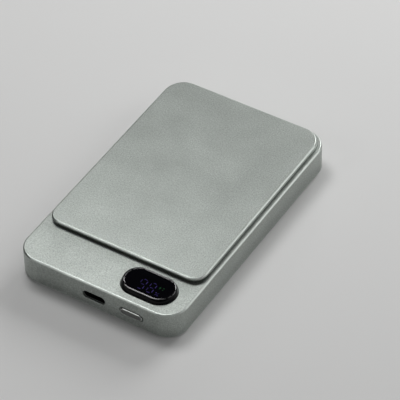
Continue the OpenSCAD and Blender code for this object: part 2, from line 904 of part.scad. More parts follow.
module leaf_rivets() {
    steel() for (x = rivet_xs)
        translate([x, rivet_y, 0]) {
            translate([0, 0, leaf_z])
                cylinder(r = screw_r, h = skin_z - leaf_z + rivet_grip);
            translate([0, 0, leaf_z - rivet_head_t])
                cylinder(r = rivet_head_r, h = rivet_head_t);
        }
}

module hinge_pin() {
    reach = ear_x + ear_w / 2 + pin_head_gap;
    steel() translate([0, hinge_y, hinge_z]) {
        rod_x(pin_r, -reach - pin_head_t, reach + pin_head_t);
        rod_x(pin_head_r, -reach - pin_head_t, -reach);
        rod_x(pin_head_r, reach, reach + pin_head_t);
    }
}

module hinge_washers() {
    inner_face = barrel_x + (ear_gap - washer_t) / 2;
    color([0.75, 0.60, 0.35]) translate([0, hinge_y, hinge_z])
        for (side = [0, 1])
            mirror([side, 0, 0])
                difference() {
                    rod_x(ear_r - 0.05, inner_face, inner_face + washer_t);
                    rod_x(pin_r + pin_clearance, inner_face - past, inner_face + past);
                }
}

// A steel strip under the deck, with two ears up through it to hold the pin
module hinge_bracket() {
    steel() difference() {
        union() {
            box(-bracket_x, bracket_x, bracket_front, bracket_far,
                ceiling_z - bracket_t - film_gap, ceiling_z - film_gap);
            for (side = [-1, 1])
                translate([side * ear_x, 0, 0]) {
                    box(-ear_w / 2, ear_w / 2, hinge_y - ear_neck / 2, hinge_y + ear_neck / 2,
                        ceiling_z - fit, hinge_z);
                    translate([0, hinge_y, hinge_z])
                        rod_x(ear_r, -ear_w / 2, ear_w / 2);
                }
        }
        for (side = [-1, 1])
            translate([side * ear_x, hinge_y, hinge_z])
                rod_x(pin_r + pin_clearance, -ear_w, ear_w);
        for (x = bracket_screw_xs)
            translate([x, bracket_screw_y, ceiling_z - bracket_t - past])
                cylinder(r = screw_r + fit, h = bracket_t + 2 * past);
    }
}

module bracket_screws() {
    head_z = ceiling_z - film_gap - bracket_t - bracket_head_t;
    steel() for (x = bracket_screw_xs)
        translate([x, bracket_screw_y, 0]) {
            translate([0, 0, head_z])
                cylinder(r = screw_r, h = ceiling_z + bracket_screw_grip - head_z);
            translate([0, 0, head_z])
                cylinder(r = bracket_head_r, h = bracket_head_t);
        }
}

top_housing();
bottom_cover();
grip_pad();
coil_carrier();
ring_magnets();
shield_ring();
alignment_magnet();
charging_coil();
coil_leads();
ferrite_sheet();
battery_cell();
battery_tabs();
battery_adhesive();
battery_foam();
thermistor();
main_board();
board_screws();
control_chips();
power_inductors();
ceramic_capacitors();
usb_shell();
usb_tongue();
usb_contacts();
tact_switch();
switch_plunger();
power_button();
display_frame();
display_lens();
display_board();
light_shroud();
digit_bars();
status_marks();
display_ribbon();
stand_plate();
stand_liner();
stand_magnets();
catch_plates();
rest_bumpers();
hinge_leaf();
leaf_rivets();
hinge_pin();
hinge_washers();
hinge_bracket();
bracket_screws();
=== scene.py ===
# %% [markdown]
# # A magnetic power bank with a folding stand
#
# The real object is a flat metal case about as long as a hand. It holds a battery cell, a small
# circuit board and a charging coil. A thin metal plate on its deck folds out as a stand, a black
# display shows the charge, and the front wall has a USB-C socket and a power button.
#
# The lesson starts from a finished engineering model. Its solids are true in size and place, but
# their edges are plain. Each part that the eye meets is made again here with eased edges, and
# every part, seen or hidden, gets a finish that varies over its surface.

import json
import math

import bmesh
import bpy
from mathutils import Matrix, Vector


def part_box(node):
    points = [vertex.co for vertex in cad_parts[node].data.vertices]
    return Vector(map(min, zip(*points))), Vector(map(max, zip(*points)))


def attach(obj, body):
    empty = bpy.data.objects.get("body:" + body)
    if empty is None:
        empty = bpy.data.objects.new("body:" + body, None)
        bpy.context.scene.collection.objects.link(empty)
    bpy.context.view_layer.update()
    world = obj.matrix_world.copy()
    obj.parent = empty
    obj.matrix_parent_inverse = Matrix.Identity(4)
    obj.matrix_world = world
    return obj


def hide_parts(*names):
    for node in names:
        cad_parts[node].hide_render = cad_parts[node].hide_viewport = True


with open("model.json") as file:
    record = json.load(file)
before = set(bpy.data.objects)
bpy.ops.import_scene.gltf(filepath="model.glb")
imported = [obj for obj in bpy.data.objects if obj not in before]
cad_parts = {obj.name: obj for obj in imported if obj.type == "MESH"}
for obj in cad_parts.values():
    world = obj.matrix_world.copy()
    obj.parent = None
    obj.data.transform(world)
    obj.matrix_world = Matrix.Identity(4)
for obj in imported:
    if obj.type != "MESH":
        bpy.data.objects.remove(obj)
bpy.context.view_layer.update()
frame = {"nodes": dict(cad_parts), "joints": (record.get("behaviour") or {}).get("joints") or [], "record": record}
MM = 0.001
print("parts loaded:", len(frame["nodes"]))

# %% [markdown]
# ## Reading sizes from the model
#
# Sizes could be typed in again, but then two lists would have to agree. It is safer to ask the
# model where each part lies and to work out the rest from that. All helpers below use
# millimetres, because that is how such an object is drawn, and turn them into metres at the end.


# %% Where each part lies, in millimetres
def corners(part):
    low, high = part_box(part)
    return low / MM, high / MM


case_low, case_high = corners("top_housing")
cover_low, cover_high = corners("bottom_cover")
plate_low, plate_high = corners("stand_plate")
rim_low, rim_high = corners("display_frame")
cap_low, cap_high = corners("power_button")
case_w = case_high.x - case_low.x
deck_z = case_high.z
print("case %.1f x %.1f mm, deck at %.1f mm" % (case_w, case_high.y - case_low.y, deck_z))

# %% [markdown]
# ## The camera
#
# A product is often shown from above one corner with a long lens, so that its edges stay nearly
# parallel. The camera is placed by four plain facts: which side it stands on, how high it looks
# down from, how far away it is, and the point that it aims at. A slight lean of the head tilts
# the view a little.

# %% Place the camera
VIEW_SIDE = math.radians(32.91)
VIEW_HEIGHT = math.radians(44.23)
VIEW_LEAN = math.radians(-1.63)
VIEW_DISTANCE = 896
VIEW_AIM = Vector((2.87, 11.19, 0))
LENS = 229.5
SENSOR = 36

towards_camera = Vector((math.sin(VIEW_SIDE) * math.cos(VIEW_HEIGHT),
                         -math.cos(VIEW_SIDE) * math.cos(VIEW_HEIGHT),
                         math.sin(VIEW_HEIGHT)))
level_right = Vector((math.cos(VIEW_SIDE), math.sin(VIEW_SIDE), 0))
level_up = towards_camera.cross(level_right)
camera_right = level_right * math.cos(VIEW_LEAN) + level_up * math.sin(VIEW_LEAN)
camera_up = towards_camera.cross(camera_right)
camera_data = bpy.data.cameras.new("camera")
camera_data.lens = LENS
camera_data.sensor_width = SENSOR
camera = bpy.data.objects.new("camera", camera_data)
turn = Matrix((camera_right, camera_up, towards_camera)).transposed().to_4x4()
camera.matrix_world = Matrix.Translation((VIEW_AIM + towards_camera * VIEW_DISTANCE) * MM) @ turn
bpy.context.scene.collection.objects.link(camera)
bpy.context.scene.camera = camera
print("camera at", [round(v, 3) for v in camera.matrix_world.translation], "m")

# %% [markdown]
# ## Floor and light
#
# Satin metal has no look of its own: it shows what is around it. So the room is a pale floor in
# the dark, with soft panels of light. Three panels behind and above light the flat faces. The
# metal spreads their light towards the camera, while the glossy display mirrors a dark spot
# between them, so it stays black. The other five stand in an arc from the front left round to the
# back right. Each is where one stretch of bevel mirrors it, and together they draw one thin
# bright line round the two near edges and their corner. Two panels under the floor only count
# when the floor is taken away to look at the underside.

# %% The room
FLOOR_SIZE = 3.0
FLOOR_COLOUR = (0.72, 0.72, 0.7128, 1)
SURROUND_COLOUR = (0.96, 0.98, 1.0, 1)
SURROUND_STRENGTH = 0.02


def light_panel(name, towards, distance, size, power):
    """A square panel of soft light that faces the middle of the case."""
    lamp = bpy.data.lights.new(name, "AREA")
    lamp.shape = "SQUARE"
    lamp.size = size
    lamp.energy = power
    holder = bpy.data.objects.new(name, lamp)
    direction = Vector(towards).normalized()
    holder.location = direction * distance
    holder.rotation_euler = direction.to_track_quat("Z", "Y").to_euler()
    bpy.context.scene.collection.objects.link(holder)
    return holder


floor_mesh = bpy.data.meshes.new("floor")
half = FLOOR_SIZE / 2
floor_mesh.from_pydata([(-half, -half, 0), (half, -half, 0), (half, half, 0), (-half, half, 0)],
                       [], [(0, 1, 2, 3)])
floor = bpy.data.objects.new("floor", floor_mesh)
bpy.context.scene.collection.objects.link(floor)
floor_paint = bpy.data.materials.new("floor_paint")
floor_paint.use_nodes = True
floor_shader = floor_paint.node_tree.nodes["Principled BSDF"]
floor_shader.inputs["Base Color"].default_value = FLOOR_COLOUR
floor_shader.inputs["Roughness"].default_value = 0.7
floor.data.materials.append(floor_paint)

world = bpy.data.worlds.new("room")
world.use_nodes = True
surround = world.node_tree.nodes["Background"]
surround.inputs["Color"].default_value = SURROUND_COLOUR
surround.inputs["Strength"].default_value = SURROUND_STRENGTH
bpy.context.scene.world = world
bpy.context.scene.view_settings.view_transform = "Standard"

light_panel("high_left", (-0.36, 0.20, 0.91), 0.6, 0.25, 1.3)
light_panel("low_back", (0.10, 0.90, 0.45), 0.9, 0.4, 4.5)
light_panel("low_back_left", (-0.39, 0.87, 0.30), 0.7, 0.13, 0.35)
light_panel("front_left", (-0.39, -0.70, 0.60), 0.9, 0.3, 0.45)
light_panel("front", (0.15, -0.68, 0.70), 0.9, 0.35, 0.3)
light_panel("front_right", (0.60, -0.39, 0.70), 0.9, 0.35, 0.35)
light_panel("right", (0.79, 0.11, 0.59), 0.9, 0.35, 0.4)
light_panel("back_right", (0.70, 0.60, 0.39), 0.9, 0.45, 0.98)
light_panel("below_near", (0.35, -0.55, -0.80), 0.9, 0.5, 4.0)
light_panel("below_far", (-0.60, 0.45, -0.70), 0.9, 0.5, 2.5)

# %% [markdown]
# ## Finishes, and the effects that they share
#
# A single flat colour looks like a toy. Real finishes vary: blasting leaves a grain, handling
# rubs edges bright, gloss picks up faint smears. Each such effect is a small group of shader
# nodes with named inputs, made once and then used with other values in many finishes. The groups
# hand out only colours, masks and heights; the shader itself stays in each finish.


# %% Helpers for adding nodes
def feed(tree, value, socket):
    """Links another node's output to a socket, or gives it a fixed value."""
    if isinstance(value, bpy.types.NodeSocket):
        tree.links.new(value, socket)
    else:
        socket.default_value = value


def put(tree, kind, feeds, **settings):
    """Adds a node, feeds its sockets by name or number, and returns its first output."""
    node = tree.nodes.new(kind)
    for label, value in settings.items():
        setattr(node, label, value)
    for label, value in feeds.items():
        feed(tree, value, node.inputs[label])
    return node.outputs[0]


def noise(tree, vector, scale, detail, roughness):
    return put(tree, "ShaderNodeTexNoise", {
        "Vector": vector, "Scale": scale, "Detail": detail, "Roughness": roughness})


def spread(tree, value, part, over):
    """Stretches one part of a value's range over another range."""
    return put(tree, "ShaderNodeMapRange", {
        "Value": value, "From Min": part[0], "From Max": part[1],
        "To Min": over[0], "To Max": over[1]})


def combine(tree, operation, first, second):
    return put(tree, "ShaderNodeMath", {0: first, 1: second}, operation=operation)


def mix_colour(tree, share, first, second):
    node = tree.nodes.new("ShaderNodeMix")
    node.data_type = "RGBA"
    feed(tree, share, node.inputs["Factor"])
    for value, socket in zip((first, second), [s for s in node.inputs if s.type == "RGBA"]):
        feed(tree, value, socket)
    return next(s for s in node.outputs if s.type == "RGBA")


# %% A helper that makes an empty group
def new_group(name, inputs, outputs):
    """inputs gives each socket its usual value, or None for the vector."""
    group = bpy.data.node_groups.new(name, "ShaderNodeTree")
    for label, value in inputs.items():
        kind = "Vector" if value is None else "Float" if isinstance(value, float) else "Color"
        socket = group.interface.new_socket(name=label, in_out="INPUT",
                                            socket_type="NodeSocket" + kind)
        if value is not None:
            socket.default_value = value
    for label in outputs:
        kind = "Color" if label == "Colour" else "Float"
        group.interface.new_socket(name=label, in_out="OUTPUT", socket_type="NodeSocket" + kind)
    given = group.nodes.new("NodeGroupInput").outputs
    result = group.nodes.new("NodeGroupOutput").inputs
    return group, given, result


# %% [markdown]
# ### Grain
#
# Blasting a metal with fine beads, or moulding a plastic in an etched tool, leaves the same kind
# of surface: tiny random hills, and a slow drift of tone across the part. One noise gives the
# hills, a slower one gives the drift. The hills also make the gloss vary slightly.

# %% The grain group
MOST_NOISE = (0.3, 0.7)
HILL_SHARE = (0.2, 0.8)
DRIFT_SHARE = (0.85, 1.15)
grain_group, given, result = new_group("grain", {
    "Vector": None, "Grain Scale": 2500.0, "Drift Scale": 60.0,
    "Dark Colour": (0.3, 0.3, 0.3, 1), "Light Colour": (0.4, 0.4, 0.4, 1),
    "Least Roughness": 0.35, "Most Roughness": 0.45}, ["Colour", "Roughness", "Height"])
hills = noise(grain_group, given["Vector"], given["Grain Scale"], 3, 0.6)
drift = noise(grain_group, given["Vector"], given["Drift Scale"], 4, 0.6)
light_share = combine(grain_group, "MULTIPLY",
                      spread(grain_group, hills, MOST_NOISE, HILL_SHARE),
                      spread(grain_group, drift, MOST_NOISE, DRIFT_SHARE))
feed(grain_group, mix_colour(grain_group, light_share, given["Dark Colour"],
                             given["Light Colour"]), result["Colour"])
feed(grain_group, spread(grain_group, drift, MOST_NOISE,
                         (given["Least Roughness"], given["Most Roughness"])),
     result["Roughness"])
feed(grain_group, hills, result["Height"])
print("group", grain_group.name, "has", len(grain_group.nodes), "nodes")

# %% [markdown]
# ### Rubbed edges, and a painted rim highlight
#
# Hands, pockets and tables polish the sharpest lines of a case first. Each piece made below
# carries a mark, stored on its points, that is 1 on its eased edges and 0 on its faces. The group
# breaks that mark up with noise, so that the wear comes and goes along the edge. On the button
# the same mask lays a brighter colour on the rim, which is a painted highlight, not wear.

# %% The edge wear and rim highlight group
EDGE_MARK = "eased_edge"
LEAST_EDGE_PATCH = 0.75
edge_wear_and_highlight_group, given, result = new_group("edge_wear_and_highlight", {
    "Vector": None, "Patch Scale": 220.0, "Amount": 0.5}, ["Mask"])
marked = edge_wear_and_highlight_group.nodes.new("ShaderNodeAttribute")
marked.attribute_name = EDGE_MARK
patches = noise(edge_wear_and_highlight_group, given["Vector"], given["Patch Scale"], 5, 0.65)
patch_share = spread(edge_wear_and_highlight_group, patches, (0.35, 0.65), (LEAST_EDGE_PATCH, 1.0))
edge_patches = combine(edge_wear_and_highlight_group, "MULTIPLY", marked.outputs["Fac"], patch_share)
feed(edge_wear_and_highlight_group, combine(edge_wear_and_highlight_group, "MULTIPLY", edge_patches, given["Amount"]), result["Mask"])
print("group", edge_wear_and_highlight_group.name, "has", len(edge_wear_and_highlight_group.nodes), "nodes")

# %% [markdown]
# ### Smears
#
# Gloss shows faint finger marks and dust only as small changes of gloss, never as colour. This
# group gives such a slow change of roughness and a very small height for the clear layer.

# %% The smear group
SMEAR_STRETCH = (1.0, 0.35, 1.0)
SMEAR_TURN = (0, 0, math.radians(35))
smear_group, given, result = new_group("smears", {
    "Vector": None, "Smear Scale": 90.0, "Clean Roughness": 0.04, "Smeared Roughness": 0.12},
    ["Roughness", "Height"])
stretched = put(smear_group, "ShaderNodeMapping", {
    "Vector": given["Vector"], "Scale": SMEAR_STRETCH, "Rotation": SMEAR_TURN})
smudges = noise(smear_group, stretched, given["Smear Scale"], 6, 0.7)
feed(smear_group, spread(smear_group, smudges, (0.45, 0.75),
                         (given["Clean Roughness"], given["Smeared Roughness"])),
     result["Roughness"])
feed(smear_group, smudges, result["Height"])
print("group", smear_group.name, "has", len(smear_group.nodes), "nodes")

# %% [markdown]
# ### Drawn lines
#
# Rolled or brushed sheet carries fine lines in one direction. Stretching a noise a hundredfold
# along one axis turns its spots into such lines.

# %% The drawn line group
LINE_STRETCH = (0.01, 1.0, 1.0)
line_group, given, result = new_group("drawn_lines", {
    "Vector": None, "Line Scale": 3000.0,
    "Dark Colour": (0.4, 0.4, 0.4, 1), "Light Colour": (0.6, 0.6, 0.6, 1),
    "Least Roughness": 0.2, "Most Roughness": 0.4}, ["Colour", "Roughness", "Height"])
drawn_out = put(line_group, "ShaderNodeMapping", {
    "Vector": given["Vector"], "Scale": LINE_STRETCH})
lines = noise(line_group, drawn_out, given["Line Scale"], 3, 0.6)
line_share = spread(line_group, lines, MOST_NOISE, (0.0, 1.0))
feed(line_group, mix_colour(line_group, line_share, given["Dark Colour"],
                            given["Light Colour"]), result["Colour"])
feed(line_group, spread(line_group, lines, MOST_NOISE,
                        (given["Least Roughness"], given["Most Roughness"])),
     result["Roughness"])
feed(line_group, lines, result["Height"])
print("group", line_group.name, "has", len(line_group.nodes), "nodes")

# %% [markdown]
# ## The finishes
#
# Each finish starts from the same few lines: a shader, the object's own coordinates, and one of
# the groups above. The values are what set them apart.

# %% Helpers for starting a finish
finishes = {}


def shade(colour, factor=1.0):
    return (colour[0] * factor, colour[1] * factor, colour[2] * factor, 1)


def start_finish(name, metallic=0.0):
    """A new material: its tree, its shader's inputs, and the object's own coordinates."""
    material = bpy.data.materials.new(name)
    material.use_nodes = True
    tree = material.node_tree
    shader = tree.nodes["Principled BSDF"].inputs
    shader["Metallic"].default_value = metallic
    finishes[name] = material
    return tree, shader, tree.nodes.new("ShaderNodeTexCoord").outputs["Object"]


def use_group(tree, group, values):
    node = tree.nodes.new("ShaderNodeGroup")
    node.node_tree = group
    for label, value in values.items():
        feed(tree, value, node.inputs[label])
    return node.outputs


def add_bump(tree, shader, height, strength, depth_mm):
    feed(tree, put(tree, "ShaderNodeBump", {
        "Strength": strength, "Distance": depth_mm * MM, "Height": height}), shader["Normal"])


# %% [markdown]
# ### Sage metal
#
# The case and the stand are blasted and anodised aluminium in a warm grey-green. The metal could
# be a plain metallic shader, but the dyed oxide layer scatters some light too, so it is set
# mostly, not fully, metallic. Edges are a touch brighter and smoother where the tool cut them.

# %% Make the sage metal
SAGE = (0.40, 0.43, 0.405)
SAGE_CONTRAST = 0.45
CUT_EDGE_LIFT = 1.3
CUT_EDGE_ROUGHNESS = 0.27


def make_sage_metal():
    tree, shader, place = start_finish("sage_metal", 0.88)
    grain = use_group(tree, grain_group, {
        "Vector": place, "Grain Scale": 2200.0, "Drift Scale": 75.0,
        "Dark Colour": shade(SAGE, 1 - SAGE_CONTRAST),
        "Light Colour": shade(SAGE, 1 + SAGE_CONTRAST),
        "Least Roughness": 0.41, "Most Roughness": 0.44})
    mask = use_group(tree, edge_wear_and_highlight_group, {
        "Vector": place, "Patch Scale": 160.0, "Amount": 0.9})["Mask"]
    feed(tree, mix_colour(tree, mask, grain["Colour"], shade(SAGE, CUT_EDGE_LIFT)),
         shader["Base Color"])
    feed(tree, put(tree, "ShaderNodeMix", {
        "Factor": mask, "A": grain["Roughness"], "B": CUT_EDGE_ROUGHNESS}), shader["Roughness"])
    off_edge = combine(tree, "SUBTRACT", 1.0, mask)
    add_bump(tree, shader, combine(tree, "MULTIPLY", grain["Height"], off_edge), 0.5, 0.03)


make_sage_metal()
print("sage metal base", SAGE)

# %% [markdown]
# ### Gloss black, matt black and the soft pad
#
# The display's frame and window are polished black plastic, so their look is all reflection:
# smears decide how crisp it is. Only the rounded lip has the full clear layer, so it glints while
# the sides stay black. The stand's back is moulded in an etched tool and stays dull. The pad that
# meets the phone is silicone: dark, dry, with a slow change of tone.


# %% Make the black plastics and the silicone
def make_gloss_black():
    tree, shader, place = start_finish("gloss_black")
    for label, value in (("Base Color", (0.002, 0.002, 0.003, 1)), ("Coat Roughness", 0.03),
                         ("Specular IOR Level", 0.12), ("Coat IOR", 1.9)):
        shader[label].default_value = value
    lip = use_group(tree, edge_wear_and_highlight_group, {"Vector": place, "Patch Scale": 110.0, "Amount": 1.0})
    feed(tree, spread(tree, lip["Mask"], (0.0, 0.8), (0.04, 1.0)), shader["Coat Weight"])
    smears = use_group(tree, smear_group, {
        "Vector": place, "Smear Scale": 110.0,
        "Clean Roughness": 0.04, "Smeared Roughness": 0.09})
    feed(tree, smears["Roughness"], shader["Roughness"])
    add_bump(tree, shader, smears["Height"], 0.02, 0.01)


def make_grained(name, colour, contrast, grain_scale, rough_low, rough_high, bump):
    """A finish that is nothing but grain, for moulded, cast, fired and foamed parts."""
    tree, shader, place = start_finish(name)
    grain = use_group(tree, grain_group, {
        "Vector": place, "Grain Scale": grain_scale, "Drift Scale": grain_scale / 30,
        "Dark Colour": shade(colour, 1 - contrast), "Light Colour": shade(colour, 1 + contrast),
        "Least Roughness": rough_low, "Most Roughness": rough_high})
    feed(tree, grain["Colour"], shader["Base Color"])
    feed(tree, grain["Roughness"], shader["Roughness"])
    add_bump(tree, shader, grain["Height"], bump, 0.03)
    return shader


make_gloss_black()
# On the stand's back this near-black is partly painted shade for the gap under the plate's front.
make_grained("matt_black", (0.016, 0.016, 0.017), 0.35, 3200.0, 0.5, 0.65, 0.4)
soft_shader = make_grained("soft_grip", (0.075, 0.078, 0.076), 0.15, 4200.0, 0.62, 0.78, 0.3)
soft_shader["Sheen Weight"].default_value = 0.25
make_grained("pale_plastic", (0.66, 0.66, 0.63), 0.05, 1500.0, 0.4, 0.5, 0.15)
make_grained("ferrite", (0.05, 0.05, 0.055), 0.3, 1800.0, 0.55, 0.75, 0.5)
make_grained("foam", (0.03, 0.03, 0.032), 0.5, 900.0, 0.85, 0.95, 0.9)
make_grained("ceramic", (0.42, 0.33, 0.22), 0.12, 2200.0, 0.35, 0.5, 0.2)
make_grained("bead_blue", (0.03, 0.12, 0.26), 0.15, 1200.0, 0.12, 0.25, 0.1)
make_grained("ribbon_amber", (0.50, 0.20, 0.04), 0.15, 700.0, 0.18, 0.3, 0.1)
print("finishes so far:", ", ".join(finishes))

# %% [markdown]
# ### Drawn and plated metals
#
# The socket's shell, the hinge and the screws are stamped or turned steel; the coil is copper
# wire under enamel; contacts are gold plated; the cell is wrapped in foil. All show drawn lines,
# some more, some less.


# %% Make the drawn metals
def make_drawn(name, dark, light, line_scale, rough_low, rough_high, bump, rim_highlight=None):
    """A metal with drawn lines. rim_highlight is a brighter colour painted on the cut edge as a highlight, where
    it has one.
    """
    tree, shader, place = start_finish(name, 1.0)
    drawn = use_group(tree, line_group, {
        "Vector": place, "Line Scale": line_scale,
        "Dark Colour": shade(dark), "Light Colour": shade(light),
        "Least Roughness": rough_low, "Most Roughness": rough_high})
    colour = drawn["Colour"]
    # The cut edge's brighter colour is a painted highlight, laid on by the edge mask.
    if rim_highlight:
        cut = use_group(tree, edge_wear_and_highlight_group, {"Vector": place, "Patch Scale": 300.0, "Amount": 1.0})
        colour = mix_colour(tree, cut["Mask"], colour, shade(rim_highlight))
    feed(tree, colour, shader["Base Color"])
    feed(tree, drawn["Roughness"], shader["Roughness"])
    add_bump(tree, shader, drawn["Height"], bump, 0.01)


make_drawn("steel", (0.42, 0.43, 0.44), (0.66, 0.67, 0.68), 4000.0, 0.22, 0.38, 0.3)
make_drawn("dark_plating", (0.012, 0.012, 0.013), (0.03, 0.03, 0.032), 4000.0, 0.35, 0.5, 0.2)
make_drawn("copper_wire", (0.60, 0.26, 0.12), (0.86, 0.44, 0.24), 5000.0, 0.25, 0.4, 0.3)
make_drawn("gold_contact", (0.72, 0.50, 0.18), (0.92, 0.70, 0.32), 3000.0, 0.15, 0.25, 0.1)
make_drawn("bronze_washer", (0.42, 0.27, 0.12), (0.62, 0.42, 0.2), 3500.0, 0.25, 0.4, 0.2)
make_drawn("cell_foil", (0.52, 0.53, 0.54), (0.72, 0.73, 0.74), 300.0, 0.3, 0.5, 0.5)
print("finishes so far:", len(finishes))

# %% [markdown]
# The button is polished metal. Its dark colour is painted shade, standing in for the dark
# surroundings that its face mirrors, and its bright rim colour is a painted highlight. The same
# edge mark that wears the case picks the rim out here, so one helper covers both kinds of metal.

# %% Make the polished metal
# Dark face colour: painted shade for a dark reflection. Rim colour: painted highlight.
make_drawn("polished_metal", (0.14, 0.145, 0.14), (0.17, 0.175, 0.17), 500.0, 0.14, 0.22, 0.05,
           rim_highlight=(0.52, 0.54, 0.52))
print("all metals:", ", ".join(n for n in finishes if "metal" in n))

# %% [markdown]
# ### Board, and the lit marks
#
# A circuit board's green comes from a lacquer over copper, so copper tracks show through it as a
# slightly lighter pattern. Blocky cells with straight borders read as tracks. The lit bars are
# dim: they give off a little violet or green light, uneven from bar to bar.

# %% Make the board and the lit marks
LACQUER = (0.012, 0.10, 0.045)
TRACK = (0.02, 0.16, 0.07)


def make_board():
    tree, shader, place = start_finish("board")
    shader["Coat Weight"].default_value = 0.3
    cells = put(tree, "ShaderNodeTexVoronoi", {"Vector": place, "Scale": 420.0},
                distance="CHEBYCHEV")
    share = spread(tree, cells, (0.35, 0.45), (0.0, 1.0))
    feed(tree, mix_colour(tree, share, shade(LACQUER), shade(TRACK)), shader["Base Color"])
    feed(tree, spread(tree, share, (0, 1), (0.22, 0.32)), shader["Roughness"])
    add_bump(tree, shader, share, 0.3, 0.02)


def make_lit(name, dim, bright):
    """A bar behind the window: black gloss in front, a little light from inside."""
    tree, shader, place = start_finish(name)
    for label, value in (("Base Color", (0.006, 0.006, 0.008, 1)), ("Roughness", 0.08),
                         ("Emission Strength", 1.0)):
        shader[label].default_value = value
    flicker = noise(tree, place, 900.0, 2, 0.5)
    share = spread(tree, flicker, (0.35, 0.65), (0.0, 1.0))
    feed(tree, mix_colour(tree, share, shade(dim), shade(bright)), shader["Emission Color"])


make_board()
make_lit("lit_violet", (0.010, 0.006, 0.035), (0.030, 0.020, 0.10))
make_lit("lit_green", (0.003, 0.020, 0.005), (0.008, 0.045, 0.012))
print("all finishes:", len(finishes))

# %% [markdown]
# ## Building with outlines
#
# Almost every piece of this object is the same idea: an outline, seen from above, that is swept
# up through a profile. The outline is a rectangle with rounded corners, or a bar with round ends.
# The profile says how far the outline is drawn in at each height. Modelling it by hand and adding
# a bevel would work once, but outlines and profiles as functions keep every edge exactly parallel
# and let the next piece reuse them.


# %% Outlines
def rounded_rectangle(width, near, far, near_radius, far_radius, steps=14):
    """Makes a function of the inset that gives points anticlockwise, seen from above."""
    def points(inset):
        ring = []
        for side, end, start in ((1, near, -90), (1, far, 0), (-1, far, 90), (-1, near, 180)):
            corner = near_radius if end == near else far_radius
            towards = 1 if end == near else -1
            middle = (side * (width / 2 - corner), end + towards * corner)
            radius = corner - inset
            for i in range(steps + 1):
                angle = math.radians(start + 90 * i / steps)
                ring.append((middle[0] + radius * math.cos(angle),
                             middle[1] + radius * math.sin(angle)))
        return ring
    return points


def round_ended_bar(width, depth, centre=(0, 0), steps=28):
    """The same for a bar with half-round ends."""
    def points(inset):
        radius = depth / 2 - inset
        reach = (width - depth) / 2
        ring = []
        for side, start in ((1, -90), (-1, 90)):
            for i in range(steps + 1):
                angle = math.radians(start + 180 * i / steps)
                ring.append((centre[0] + side * reach + radius * math.cos(angle),
                             centre[1] + radius * math.sin(angle)))
        return ring
    return points


# %% [markdown]
# ### Eased profiles
#
# No real edge is perfectly sharp. A profile is given as a few corner points, each with its own
# easing radius, and the function below swaps every eased corner for a short arc. It also passes
# on which points belong to such an arc, which becomes the mark for rubbed edges.


# %% Easing
def eased(corner_points, steps=4):
    """Corner points are (inset, height, radius). Gives (inset, height, is eased)."""
    path = []
    for i, (inset, height, radius) in enumerate(corner_points):
        here = Vector((inset, height))
        if radius == 0 or i in (0, len(corner_points) - 1):
            path.append((inset, height, 0.0))
            continue
        back = (Vector(corner_points[i - 1][:2]) - here).normalized()
        ahead = (Vector(corner_points[i + 1][:2]) - here).normalized()
        half_angle = back.angle(ahead) / 2
        tangent = radius / math.tan(half_angle)
        middle = here + (back + ahead).normalized() * (radius / math.sin(half_angle))
        first = here + back * tangent - middle
        last = here + ahead * tangent - middle
        sweep = first.angle_signed(last)
        for k in range(steps + 1):
            spoke = first.copy()
            spoke.rotate(Matrix.Rotation(-sweep * k / steps, 2))
            point = middle + spoke
            path.append((point.x, point.y, 1.0))
    return path


# %% Sweeping an outline through a profile
SAME_POINT = 1e-7


def mesh_piece(name, mesh):
    """Turns the sides outwards and makes the mesh a piece of the scene."""
    bmesh.ops.recalc_face_normals(mesh, faces=mesh.faces)
    data = bpy.data.meshes.new(name)
    mesh.to_mesh(data)
    mesh.free()
    piece = bpy.data.objects.new(name, data)
    bpy.context.scene.collection.objects.link(piece)
    return piece


def sweep(name, outline, profile, place=None, hollow=False):
    """Builds a closed piece. place turns (x, y, height) into a point, so a piece can lie down."""
    place = place or (lambda x, y, height: (x, y, height))
    mesh = bmesh.new()
    mark = mesh.verts.layers.float.new(EDGE_MARK)
    rings = []
    for inset, height, eased_here in profile:
        ring = []
        for x, y in outline(inset):
            point = mesh.verts.new(Vector(place(x, y, height)) * MM)
            point[mark] = eased_here
            ring.append(point)
        rings.append(ring)
    pairs = list(zip(rings, rings[1:]))
    if hollow:
        pairs.append((rings[-1], rings[0]))
    for lower, upper in pairs:
        for i in range(len(lower)):
            j = (i + 1) % len(lower)
            mesh.faces.new((lower[i], lower[j], upper[j], upper[i]))
    if not hollow:
        mesh.faces.new(list(reversed(rings[0])))
        mesh.faces.new(rings[-1])
    bmesh.ops.remove_doubles(mesh, verts=mesh.verts, dist=SAME_POINT)
    return mesh_piece(name, mesh)


def straight(outline, low, high, place=None):
    """The outline drawn straight from one height to another, used only as a cutter."""
    return sweep("cutter", outline, [(0, low, 0), (0, high, 0)], place)


def block(low, high):
    """A plain block from one corner to the other, used only as a cutter."""
    outline = rounded_rectangle(high[0] - low[0], low[1], high[1], 0.05, 0.05, 1)
    shift = (low[0] + high[0]) / 2
    return straight(outline, low[2], high[2], lambda x, y, height: (x + shift, y, height))


# %% [markdown]
# ### Carving
#
# Slots and pockets are cut with a boolean, as a milling cutter would. The cutter is a piece made
# by the same sweep, and it is thrown away afterwards. A cutter with a flared mouth leaves a small
# chamfer round the slot, which is what catches the light there.


# %% Carving helpers
def settle(piece):
    """Keeps what the piece's modifier makes as a plain mesh and removes the modifier."""
    bpy.context.view_layer.update()
    evaluated = piece.evaluated_get(bpy.context.evaluated_depsgraph_get())
    made = bpy.data.meshes.new_from_object(evaluated)
    piece.modifiers.clear()
    piece.data = made


def carve(piece, cutters, operation="DIFFERENCE"):
    for cutter in cutters:
        cut = piece.modifiers.new("cut", "BOOLEAN")
        cut.operation = operation
        cut.solver = "EXACT"
        cut.object = cutter
        settle(piece)
        bpy.data.objects.remove(cutter)


